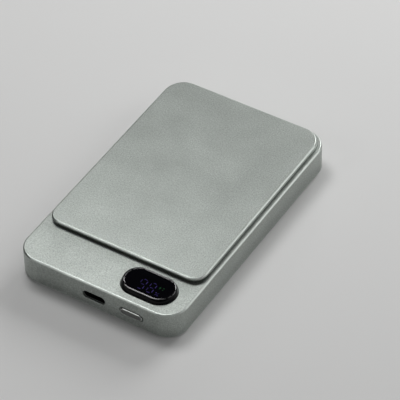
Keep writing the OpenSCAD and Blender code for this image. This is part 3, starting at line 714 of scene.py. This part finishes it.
def lying(depth_at):
    """Places a sweep so that its height runs along Y, for what goes through the front wall."""
    return lambda x, z, depth: (x, depth_at + depth, z)


SHARP = math.radians(38)


def complete(piece, body, slot, stands_for):
    """Shading, the slot's finish, and the calls that tie the piece to the moving model."""
    piece.data.polygons.foreach_set("use_smooth", [True] * len(piece.data.polygons))
    piece.data.set_sharp_from_angle(angle=SHARP)
    piece.data.materials.clear()
    piece.data.materials.append(finishes[slot])
    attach(piece, body)
    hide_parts(stands_for)
    size = piece.dimensions / MM
    print("%s: %d faces, %.1f x %.1f x %.1f mm" % (piece.name, len(piece.data.polygons), *size))


# %% [markdown]
# ## The case
#
# The real case is pressed or milled from one sheet: a deck and four walls, open below. Its top
# edge is cut with a small bevel that runs all the way round, and both ends of the bevel are
# slightly eased, so it shows as one clean bright line. The extra ring just inside the edge keeps
# the deck's shading flat.

# %% Sweep the case and hollow it
CORNER = 8.0
WALL = 1.4
ROOF = 1.5
BEVEL = 0.45
EASE = 0.22
KEEP_FLAT = 0.3
SEAM_EASE = 0.08
PAST = 1
case_outline = rounded_rectangle(case_w, case_low.y, case_high.y, CORNER, CORNER, 20)
seam_z = case_low.z
case_profile = eased([
    (2 * KEEP_FLAT, seam_z, 0), (SEAM_EASE, seam_z, 0), (0, seam_z + SEAM_EASE, 0),
    (0, seam_z + KEEP_FLAT, 0),
    (0, deck_z - BEVEL - KEEP_FLAT, 0),
    (0, deck_z - BEVEL, EASE), (BEVEL, deck_z, EASE),
    (BEVEL + KEEP_FLAT, deck_z, 0)])
case_shell = sweep("case_shell", case_outline, case_profile)
cavity_outline = rounded_rectangle(case_w - 2 * WALL, case_low.y + WALL, case_high.y - WALL,
                                   CORNER - WALL, CORNER - WALL)
carve(case_shell, [straight(cavity_outline, seam_z - PAST, deck_z - ROOF)])
print("case shell faces:", len(case_shell.data.polygons))

# %% [markdown]
# The deck has a hole for the display's frame, and at the far end a shallow trough that the stand's
# edge turns down into, with two slots for the hinge's ears. The front wall has the mouth of the
# USB-C socket and the slot that the power button moves in. Both mouths are flared by a fraction
# of a millimetre.

# %% Cut the deck and the front wall
FLANGE = 0.8
FRAME_GAP = 0.08
EAR_X = 20.0
EAR_SLOT = 4.2
EAR_REACH = 0.7
TROUGH_X = 26.5
TROUGH_FAR = case_high.y - 0.85
TROUGH_DEPTH = 0.7
SOCKET_MOUTH = (9.04, 3.26)
BUTTON_MOUTH = (9.5, 3.3)
hinge_y, hinge_z = [v / MM for v in next(
    j for j in frame["joints"] if j["name"] == "stand_hinge")["pos_m"]][1:]
rim_middle = ((rim_low.x + rim_high.x) / 2, (rim_low.y + rim_high.y) / 2)
rim_w = rim_high.x - rim_low.x - 2 * FLANGE
rim_d = rim_high.y - rim_low.y - 2 * FLANGE
front_y = case_low.y
socket_z = (corners("usb_shell")[1].z + corners("usb_tongue")[0].z) / 2
cap_x = (cap_low.x + cap_high.x) / 2
cap_z = (cap_low.z + cap_high.z) / 2
display_hole = straight(
    round_ended_bar(rim_w + 2 * FRAME_GAP, rim_d + 2 * FRAME_GAP, rim_middle),
    deck_z - ROOF - PAST, deck_z + PAST)
trough = straight(rounded_rectangle(2 * TROUGH_X, hinge_y - 1, TROUGH_FAR, 0.5, 0.9),
                  deck_z - TROUGH_DEPTH, deck_z + PAST)
ear_slots = [block((side * EAR_X - EAR_SLOT / 2, hinge_y - EAR_REACH, deck_z - ROOF - PAST),
                   (side * EAR_X + EAR_SLOT / 2, hinge_y + EAR_REACH, deck_z))
             for side in (-1, 1)]


def flared(flare):
    """Insets for a mouth that is wider at the face, from outside to inside the wall."""
    return [(-flare - 0.6, -0.6, 0), (0, flare, 0), (0, WALL + 1, 0)]


mouths = [sweep("cutter", round_ended_bar(*mouth, centre), flared(flare), lying(front_y))
          for mouth, centre, flare in ((SOCKET_MOUTH, (0, socket_z), 0.06),
                                       (BUTTON_MOUTH, (cap_x, cap_z), 0.05))]
carve(case_shell, [display_hole, trough] + ear_slots + mouths)
complete(case_shell, "case", "sage_metal", "top_housing")

# %% [markdown]
# ## The cover and the pad
#
# The cover closes the case from the phone's side. Only its thin edge shows, below a hairline
# seam, and its lower edge is bevelled so that it looks lighter than the wall above. The soft pad
# sits in it, a little proud, so that metal never touches the phone. Two shallow rings and a bar
# pressed into the pad show where the magnets lie.

# %% Sweep the cover
SEAM_GAP = 0.05
PAD_CORNER = 4.95
PAD_GAP = 0.05
cover_edge_z = seam_z - SEAM_GAP
cover_profile = eased([
    (4, cover_low.z, 0), (BEVEL + KEEP_FLAT, cover_low.z, 0),
    (BEVEL, cover_low.z, 0.15), (0, cover_low.z + BEVEL, 0.15),
    (0, cover_edge_z - SEAM_EASE, 0), (SEAM_EASE, cover_edge_z, 0), (WALL + 0.1, cover_edge_z, 0),
    (WALL + 0.1, cover_high.z - 0.4, 0), (WALL + 1, cover_high.z - 0.4, 0),
    (WALL + 1, cover_low.z + 1, 0), (4.5, cover_low.z + 1, 0)])
cover_shell = sweep("cover_shell", case_outline, cover_profile)
pad_low, pad_high = corners("grip_pad")
pad_w = pad_high.x - pad_low.x
pad_room = straight(rounded_rectangle(
    pad_w + 2 * PAD_GAP, pad_low.y - PAD_GAP, pad_high.y + PAD_GAP,
    PAD_CORNER + PAD_GAP, PAD_CORNER + PAD_GAP), -PAST, pad_high.z)
carve(cover_shell, [pad_room])
complete(cover_shell, "case", "sage_metal", "bottom_cover")

# %% Sweep the pad and press the marks into it
GROOVE_DEPTH = 0.12
GROOVE_W = 0.6
BAND = 4.0
bar_low, bar_high = corners("alignment_magnet")
magnets_low, magnets_high = corners("ring_magnets")
ring_r = (magnets_high.x - magnets_low.x) / 2
ring_y = magnets_high.y - ring_r


def groove(outline, place=None):
    """A shallow channel that follows an outline, cut upwards into the pad's lower face."""
    return sweep("cutter", outline, [
        (-GROOVE_W / 2, -PAST, 0), (-GROOVE_W / 2, GROOVE_DEPTH, 0),
        (GROOVE_W / 2, GROOVE_DEPTH, 0), (GROOVE_W / 2, -PAST, 0)], place, hollow=True)


def circle(radius, centre, steps=96):
    def points(inset):
        return [(centre[0] + (radius - inset) * math.cos(2 * math.pi * i / steps),
                 centre[1] + (radius - inset) * math.sin(2 * math.pi * i / steps))
                for i in range(steps)]
    return points


pad_outline = rounded_rectangle(pad_w, pad_low.y, pad_high.y, PAD_CORNER, PAD_CORNER)
grip_mat = sweep("grip_mat", pad_outline, eased([
    (0.6, pad_low.z, 0), (0.12, pad_low.z, 0.1), (0, pad_low.z + 0.15, 0.1),
    (0, pad_high.z, 0)]))


def upright_bar(x, y, height):
    """Turns a bar that was drawn along X so that it lies along Y."""
    return (-y, x + (bar_low.y + bar_high.y) / 2, height)


bar_groove = groove(round_ended_bar(bar_high.y - bar_low.y, bar_high.x - bar_low.x), upright_bar)
carve(grip_mat, [groove(circle(ring_r, (0, ring_y))), groove(circle(ring_r - BAND, (0, ring_y))),
                 bar_groove])
complete(grip_mat, "case", "soft_grip", "grip_pad")

# %% [markdown]
# ## The stand plate
#
# The plate is a shallow metal tray turned upside down: a thin skin with a rim on three sides. Its
# front edge has no rim and overhangs a black back, so a fingernail can lift it. That overhang is
# the dark line along its front. The rim tapers away round the two front corners.

# %% Sweep the plate
NEAR_CORNER = 5.0
FAR_CORNER = 7.5
RIM = 1.2
plate_w = plate_high.x - plate_low.x
skin_z = corners("stand_liner")[1].z + 0.02
plate_outline = rounded_rectangle(plate_w, plate_low.y, plate_high.y, NEAR_CORNER, FAR_CORNER, 20)
plate_profile = eased([
    (KEEP_FLAT, plate_low.z, 0), (0.12, plate_low.z, 0.08), (0, plate_low.z + 0.12, 0.08),
    (0, plate_high.z - BEVEL - KEEP_FLAT, 0),
    (0, plate_high.z - BEVEL, EASE), (BEVEL, plate_high.z, EASE),
    (BEVEL + KEEP_FLAT, plate_high.z, 0)])
stand_panel = sweep("stand_panel", plate_outline, plate_profile)
tray = straight(rounded_rectangle(plate_w - 2 * RIM, plate_low.y - 3, plate_high.y - RIM,
                                  1, FAR_CORNER - RIM), plate_low.z - PAST, skin_z)

# %% [markdown]
# The overhang's cutter is a wedge: deep along the front edge, running out to nothing a few
# millimetres past each corner. At the far end a groove makes room for the hinge barrel, and two
# notches let the hinge's ears through as the plate turns.

# %% Cut the overhang and the hinge room
OVERHANG_DEPTH = 4.4
OVERHANG_RUNOUT = 4.5
BARREL_ROOM_X = 22.9
BARREL_ROOM_R = 0.85
NOTCH_RISE = 0.65


def along_x(reach):
    """Turns an outline drawn in Y and Z into a bar along X."""
    return lambda y, z, x: (x * reach, y, z)


def wedge_points(inset):
    near = plate_low.y - 2
    deep = plate_low.y + OVERHANG_DEPTH
    return [(near, plate_low.z - 1), (deep + OVERHANG_RUNOUT, plate_low.z - 1),
            (deep + OVERHANG_RUNOUT, plate_low.z), (deep, skin_z), (near, skin_z)]


overhang = straight(wedge_points, -1, 1, along_x(plate_w))
barrel_room = straight(circle(BARREL_ROOM_R, (hinge_y, hinge_z), 32), -1, 1,
                       along_x(BARREL_ROOM_X))
barrel_mouth = block((-BARREL_ROOM_X, hinge_y - BARREL_ROOM_R, plate_low.z - PAST),
                     (BARREL_ROOM_X, hinge_y + BARREL_ROOM_R, hinge_z))
notches = [block((side * EAR_X - EAR_SLOT / 2, hinge_y, plate_low.z - PAST),
                 (side * EAR_X + EAR_SLOT / 2, plate_high.y + PAST, hinge_z + NOTCH_RISE))
           for side in (-1, 1)]
carve(stand_panel, [tray, overhang, barrel_room, barrel_mouth] + notches)
complete(stand_panel, "stand", "sage_metal", "stand_plate")

# %% [markdown]
# ## The stand's back
#
# A black moulded sheet fills the tray. It holds two small magnets that keep the stand shut, and
# leaves a window for the hinge's leaf. It only shows as the dark line at the front, and as the
# stand's back once it is folded out, so its edges are eased and its face is finely etched. Its
# near-black is partly its own colour and partly painted shade for the gap under the front overhang.

# %% Sweep the back
LEAF_GAP = 0.3
DISC_GAP = 0.05
liner_low, liner_high = corners("stand_liner")
liner_outline = rounded_rectangle(liner_high.x - liner_low.x, liner_low.y, liner_high.y, 3, 5)
stand_back = sweep("stand_back", liner_outline, eased([
    (0.5, liner_low.z, 0), (0.2, liner_low.z, 0.1), (0, liner_low.z + 0.2, 0.1),
    (0, liner_high.z, 0)]))
leaf_low, leaf_high = corners("hinge_leaf")
leaf_room = block((leaf_low.x - LEAF_GAP, leaf_low.y - LEAF_GAP, liner_low.z - PAST),
                  (leaf_high.x + LEAF_GAP, liner_high.y + PAST, liner_high.z + PAST))
disc_low, disc_high = corners("stand_magnets")
disc_r = (disc_high.y - disc_low.y) / 2
disc_y = (disc_low.y + disc_high.y) / 2
disc_rooms = [straight(circle(disc_r + DISC_GAP, (side * (disc_high.x - disc_r), disc_y), 48),
                       liner_low.z - PAST, liner_high.z + PAST) for side in (-1, 1)]
carve(stand_back, [leaf_room] + disc_rooms)
# The stand's near-black back is partly painted shade in the gap under the front overhang.
complete(stand_back, "stand", "matt_black", "stand_liner")

# %% [markdown]
# ## The display
#
# The display stands proud of the deck as a black pill. Its sides lean in, and its crest is a thin
# rounded lip with the window set a hair below it. Because the lip is round, some part of it always
# faces a lamp: the near side glints on its outer slope, the far side on its inner one. The frame
# is swept as a closed ring, so it has no caps.

# %% Sweep the frame's ring
LEAN = 0.9
crest_z = rim_high.z
LIP = 0.6
LIP_DROP = 0.2
window_outline = round_ended_bar(rim_w, rim_d, rim_middle, 36)
inner = LEAN + LIP + 0.5
side_foot = Vector((0.03, deck_z + 0.2))
side_top = Vector((LEAN - 0.02, crest_z))
side_flat = side_foot.lerp(side_top, 0.8)
surround_profile = eased([
    (0, rim_low.z + 0.4, 0), (0, deck_z - 0.2, 0), (*side_foot, 0), (*side_flat, 0),
    (*side_top, 0.4), (LEAN + 0.42, crest_z, 0.22),
    (LEAN + LIP, crest_z - LIP_DROP, 0.08),
    (inner, crest_z - LIP_DROP - 0.06, 0), (inner, rim_low.z + 0.4, 0)], 8)
display_surround = sweep("display_surround", window_outline, surround_profile, hollow=True)
complete(display_surround, "case", "gloss_black", "display_frame")

# %% Sweep the window
window_top = crest_z - LIP_DROP + 0.01
window_inset = LEAN + LIP - 0.02
window_pane = sweep("window_pane", window_outline, [
    (inner - 0.06, window_top - 0.7, 0), (inner - 0.06, window_top - 0.3, 0),
    (window_inset, window_top - 0.05, 0), (window_inset + 0.06, window_top, 0),
    (window_inset + 0.4, window_top, 0)])
complete(window_pane, "case", "gloss_black", "display_lens")

# %% [markdown]
# ## The lit figures
#
# A seven-segment figure is seven bars. Real ones have pointed ends, so that the gaps between them
# run at a slant. Each bar here is a flat six-sided tile laid on the window; the finish makes it
# look like light behind smoked plastic. Which bars are lit for a digit is a short table.

# %% Lay out the bars
LIT = {"9": "ABCDFG", "8": "ABCDEFG"}
FIGURE_W = 2.1
FIGURE_H = 4.5
BAR_HALF = 0.14
TIP_GAP = 0.40
TILE_T = 0.012
BARS = {"A": (0, 0.5, False), "B": (0.5, 0.25, True), "C": (0.5, -0.25, True),
        "D": (0, -0.5, False), "E": (-0.5, -0.25, True), "F": (-0.5, 0.25, True),
        "G": (0, 0, False)}


def tile(mesh, outline):
    """A thin flat tile on the window, from points in X and Y."""
    lower = [mesh.verts.new(Vector((x, y, window_top - TILE_T)) * MM) for x, y in outline]
    upper = [mesh.verts.new(Vector((x, y, window_top + TILE_T)) * MM) for x, y in outline]
    for i in range(len(outline)):
        j = (i + 1) % len(outline)
        mesh.faces.new((lower[i], lower[j], upper[j], upper[i]))
    mesh.faces.new(list(reversed(lower)))
    mesh.faces.new(upper)


def bar_outline(centre, length, upright):
    reach = length / 2 - TIP_GAP
    shape = [(-reach, 0), (-reach + BAR_HALF, -BAR_HALF), (reach - BAR_HALF, -BAR_HALF),
             (reach, 0), (reach - BAR_HALF, BAR_HALF), (-reach + BAR_HALF, BAR_HALF)]
    if upright:
        return [(centre[0] - y, centre[1] + x) for x, y in shape]
    return [(centre[0] + x, centre[1] + y) for x, y in shape]


# %% Lay the tiles of the two figures and the percent mark
FIGURE_PITCH = 3.6
MARK_IN = 0.9
DOT_OFF = 0.5
DOT_R = 0.22
digits_low, digits_high = corners("digit_bars")
figures_mid = ((digits_low.x + digits_high.x) / 2, (digits_low.y + digits_high.y) / 2)
figure_mesh = bmesh.new()
for place_at, digit in ((-0.5, "9"), (0.5, "8")):
    centre_x = figures_mid[0] + place_at * FIGURE_PITCH
    for bar in LIT[digit]:
        across, up, upright = BARS[bar]
        middle = (centre_x + across * FIGURE_W, figures_mid[1] + up * FIGURE_H)
        tile(figure_mesh, bar_outline(middle, FIGURE_H / 2 if upright else FIGURE_W, upright))
marks_low, marks_high = corners("status_marks")
marks_x = (marks_low.x + marks_high.x) / 2
percent_y = marks_low.y + MARK_IN
for side in (-1, 1):
    dot = (marks_x + side * DOT_OFF, percent_y - side * DOT_OFF)
    tile(figure_mesh, circle(DOT_R, dot, 16)(0))
tile(figure_mesh, [(marks_x - 0.65, percent_y - 0.7), (marks_x - 0.48, percent_y - 0.7),
                   (marks_x + 0.65, percent_y + 0.7), (marks_x + 0.48, percent_y + 0.7)])
lit_figures = mesh_piece("lit_figures", figure_mesh)
complete(lit_figures, "case", "lit_violet", "digit_bars")

# %% Lay the charging mark
charge_y = marks_high.y - MARK_IN
BOLT_X = -0.5
CELL_X = 0.75
BOLT = [(0.2, 0.8), (-0.45, -0.1), (-0.05, -0.1), (-0.2, -0.8), (0.45, 0.12), (0.05, 0.12)]
mark_mesh = bmesh.new()
tile(mark_mesh, [(marks_x + BOLT_X + x, charge_y + y) for x, y in BOLT])
for side in (-1, 1):
    tile(mark_mesh, bar_outline((marks_x + CELL_X, charge_y + side * 0.4), 1.4, False))
charge_mark = mesh_piece("charge_mark", mark_mesh)
complete(charge_mark, "case", "lit_green", "status_marks")

# %% [markdown]
# ## The power button
#
# The button is a polished pill with a generous rounded rim. It is one piece with the flange
# behind the wall that keeps it from falling out and the post that reaches the switch, so it is
# swept from back to front along Y.

# %% Sweep the button
CAP = (8.9, 2.7)
FLANGE_OUT = 0.7
FLANGE_T = 0.6
FLANGE_GAP = 0.3
POST_R = 1.0
cap_front = cap_low.y - cap_high.y
flange_from = front_y + WALL + FLANGE_GAP - cap_high.y
flange_to = flange_from + FLANGE_T
button_cap = sweep("button_cap", round_ended_bar(*CAP, (cap_x, cap_z)), eased([
    (0.4, flange_to, 0), (0.1 - FLANGE_OUT, flange_to, 0.05), (-FLANGE_OUT, flange_from, 0.05),
    (0, flange_from, 0), (0, cap_front + 0.32, 0), (0.01, cap_front + 0.22, 0.1),
    (0.22, cap_front, 0.18), (0.5, cap_front, 0)], 6), lying(cap_high.y))
post = straight(circle(POST_R, (cap_x, cap_z), 32), flange_to - 0.1, 0, lying(cap_high.y))
carve(button_cap, [post], "UNION")
complete(button_cap, "button", "polished_metal", "power_button")

# %% [markdown]
# ## What repeats
#
# The contacts in the socket, the magnets of the ring and the turns of the coil are one small shape
# over and over, or one section drawn along a path. Each could be made in a loop, but a node tree
# keeps the rule and its few sizes together: change the count or the wire and the rest follows.
# The helpers below build such a tree, run it once and keep the result as a plain mesh. Nothing
# in these trees is random, so they need no seed.


# %% Helpers for node trees
def new_tree(name, sizes):
    """An empty tree with named inputs. sizes maps each name to its kind of number."""
    tree = bpy.data.node_groups.new(name, "GeometryNodeTree")
    for label, kind in sizes.items():
        tree.interface.new_socket(label, in_out="INPUT", socket_type="NodeSocket" + kind)
    tree.interface.new_socket("Geometry", in_out="OUTPUT", socket_type="NodeSocketGeometry")
    return tree, tree.nodes.new("NodeGroupInput").outputs


def end_tree(tree, geometry, finish):
    """Real geometry and its finish come last, so nothing is left as an instance."""
    real = put(tree, "GeometryNodeRealizeInstances", {"Geometry": geometry})
    put_on = put(tree, "GeometryNodeSetMaterial", {"Geometry": real, "Material": finish})
    tree.links.new(put_on, tree.nodes.new("NodeGroupOutput").inputs["Geometry"])


def grow(name, tree, sizes):
    """Runs the tree with these sizes on an empty piece and keeps the plain mesh."""
    piece = bpy.data.objects.new(name, bpy.data.meshes.new(name))
    grower = piece.modifiers.new("grow", "NODES")
    grower.node_group = tree
    for socket in tree.interface.items_tree:
        if socket.in_out == "INPUT":
            grower[socket.identifier] = sizes[socket.name]
    bpy.context.scene.collection.objects.link(piece)
    settle(piece)
    mesh = bmesh.new()
    mesh.from_mesh(piece.data)
    bmesh.ops.remove_doubles(mesh, verts=mesh.verts, dist=SAME_POINT)
    bmesh.ops.recalc_face_normals(mesh, faces=mesh.faces)
    mesh.to_mesh(piece.data)
    mesh.free()
    return piece


def rounded_section(tree, width, height, radius):
    """The outline of a bar or a magnet: a rectangle whose corners are eased."""
    sheet = put(tree, "GeometryNodeCurvePrimitiveQuadrilateral",
                {"Width": width, "Height": height})
    return put(tree, "GeometryNodeFilletCurve", {"Curve": sheet, "Radius": radius, "Count": 3},
               mode="POLY")


def along(tree, path, section):
    """Draws the section along the path and closes both ends."""
    return put(tree, "GeometryNodeCurveToMesh",
               {"Curve": path, "Profile Curve": section, "Fill Caps": True})


# %% [markdown]
# ### The contacts
#
# A USB-C tongue carries twelve gilded contacts on each face. One short bar with eased edges is set
# on every point of a two-row grid that stands upright across the socket.

# %% Build the contacts
contacts_low, contacts_high = corners("usb_contacts")
CONTACTS = 12
CONTACT_W = 0.24
CONTACT_T = 0.06
tree, size = new_tree("contact_rows", {
    "Count": "Int", "Row Width": "Float", "Row Gap": "Float", "Middle": "Vector",
    "Bar Width": "Float", "Bar Thickness": "Float", "Bar Start": "Vector", "Bar End": "Vector",
    "Easing": "Float"})
grid = put(tree, "GeometryNodeMeshGrid", {
    "Size X": size["Row Width"], "Size Y": size["Row Gap"],
    "Vertices X": size["Count"], "Vertices Y": 2})
standing = put(tree, "GeometryNodeTransform", {
    "Geometry": grid, "Translation": size["Middle"], "Rotation": (math.radians(90), 0, 0)})
bar_path = put(tree, "GeometryNodeCurvePrimitiveLine",
               {"Start": size["Bar Start"], "End": size["Bar End"]})
bar_section = rounded_section(tree, size["Bar Width"], size["Bar Thickness"], size["Easing"])
bar = along(tree, bar_path, bar_section)
rows = put(tree, "GeometryNodeInstanceOnPoints", {"Points": standing, "Instance": bar})
end_tree(tree, rows, finishes["gold_contact"])
contacts_mid = (contacts_low + contacts_high) / 2
bar_reach = Vector((0, (contacts_high.y - contacts_low.y) / 2, 0))
contact_pins = grow("contact_pins", tree, {
    "Count": CONTACTS, "Row Width": (contacts_high.x - contacts_low.x - CONTACT_W) * MM,
    "Row Gap": (contacts_high.z - contacts_low.z - CONTACT_T) * MM, "Middle": contacts_mid * MM,
    "Bar Width": CONTACT_W * MM, "Bar Thickness": CONTACT_T * MM,
    "Bar Start": -bar_reach * MM, "Bar End": bar_reach * MM, "Easing": 0.02 * MM})
complete(contact_pins, "case", "gold_contact", "usb_contacts")

# %% [markdown]
# ### The ring of magnets
#
# The ring that grips a phone is made of short curved magnets with small gaps, and stops at the
# near side where the coil's leads pass. One magnet is an eased section drawn along an arc. It is
# set once for every magnet on the same centre, each time turned one step further.

# %% Build the magnets
MAGNETS = 16
MAGNET_GAP = 0.45
LEAD_GAP = math.radians(12.5)
ring_middle = Vector((0, ring_y, (magnets_low.z + magnets_high.z) / 2))
magnet_t = magnets_high.z - magnets_low.z
step_angle = (math.tau - 2 * LEAD_GAP) / MAGNETS
gap_angle = MAGNET_GAP / (ring_r - BAND)
tree, size = new_tree("magnet_ring", {
    "Count": "Int", "Radius": "Float", "Step": "Float", "First": "Float", "Sweep": "Float",
    "Middle": "Vector", "Band": "Float", "Thickness": "Float", "Easing": "Float"})
arc = put(tree, "GeometryNodeCurveArc", {
    "Resolution": 16, "Radius": size["Radius"], "Start Angle": size["First"],
    "Sweep Angle": size["Sweep"]}, mode="RADIUS")
magnet_section = rounded_section(tree, size["Band"], size["Thickness"], size["Easing"])
magnet = along(tree, arc, magnet_section)
places = put(tree, "GeometryNodeMeshLine", {
    "Count": size["Count"], "Start Location": size["Middle"], "Offset": (0, 0, 0)})
turn = put(tree, "ShaderNodeMath", {
    0: put(tree, "GeometryNodeInputIndex", {}), 1: size["Step"]}, operation="MULTIPLY")
turned = put(tree, "ShaderNodeCombineXYZ", {"Z": turn})
magnets = put(tree, "GeometryNodeInstanceOnPoints", {
    "Points": places, "Instance": magnet, "Rotation": turned})
end_tree(tree, magnets, finishes["steel"])
magnet_arcs = grow("magnet_arcs", tree, {
    "Count": MAGNETS, "Radius": (ring_r - BAND / 2) * MM, "Step": step_angle,
    "First": -math.pi / 2 + LEAD_GAP + gap_angle / 2, "Sweep": step_angle - gap_angle,
    "Middle": ring_middle * MM, "Band": (BAND - 0.04) * MM,
    "Thickness": magnet_t * MM, "Easing": 0.15 * MM})
complete(magnet_arcs, "case", "steel", "ring_magnets")

# %% [markdown]
# ### The charging coil
#
# The coil is one long wire wound outwards in a flat spiral. A spiral path and a round section
# give exactly that, and the wire's thickness leaves a thin gap between the turns.

# %% Build the coil
coil_low, coil_high = corners("charging_coil")
coil_outer = (coil_high.x - coil_low.x) / 2
COIL_INNER = 10.2
TURNS = 9
wire_r = (coil_high.z - coil_low.z) / 2
tree, size = new_tree("wound_coil", {
    "Turns": "Float", "Inner Radius": "Float", "Outer Radius": "Float", "Middle": "Vector",
    "Wire Radius": "Float"})
spiral = put(tree, "GeometryNodeCurveSpiral", {
    "Resolution": 72, "Rotations": size["Turns"], "Start Radius": size["Inner Radius"],
    "End Radius": size["Outer Radius"], "Height": 0.0})
wire_section = put(tree, "GeometryNodeCurvePrimitiveCircle",
                   {"Resolution": 16, "Radius": size["Wire Radius"]}, mode="RADIUS")
wire = along(tree, spiral, wire_section)
placed = put(tree, "GeometryNodeTransform", {"Geometry": wire, "Translation": size["Middle"]})
end_tree(tree, placed, finishes["copper_wire"])
coil_middle = Vector((ring_middle.x, ring_middle.y, (coil_low.z + coil_high.z) / 2))
wound_coil = grow("wound_coil", tree, {
    "Turns": float(TURNS), "Inner Radius": (COIL_INNER + wire_r) * MM,
    "Outer Radius": (coil_outer - wire_r) * MM, "Middle": coil_middle * MM,
    "Wire Radius": wire_r * MM})
complete(wound_coil, "case", "copper_wire", "charging_coil")

# %% [markdown]
# ## The parts that stay as engineered
#
# The other inner parts and the hinge are already right in shape: blocks, pins and strips with
# crisp edges, as the real ones have. They only need their finishes. The record says which
# material slot each part takes, and each slot has a finish of the same name.

# %% Give every remaining part its finish
remade = {"top_housing", "bottom_cover", "grip_pad", "stand_plate", "stand_liner",
          "display_frame", "display_lens", "digit_bars", "status_marks", "power_button",
          "usb_contacts", "ring_magnets", "charging_coil"}
special = {"usb_shell": "dark_plating"}
slots = {s["node"]: s["material_slot"] for s in frame["record"]["subparts"]}
for part, holder in frame["nodes"].items():
    if part in remade:
        continue
    finish = finishes[special.get(part, slots[part])]
    holder.data.materials.clear()
    holder.data.materials.append(finish)
print("parts kept with a new finish:", len(frame["nodes"]) - len(remade))
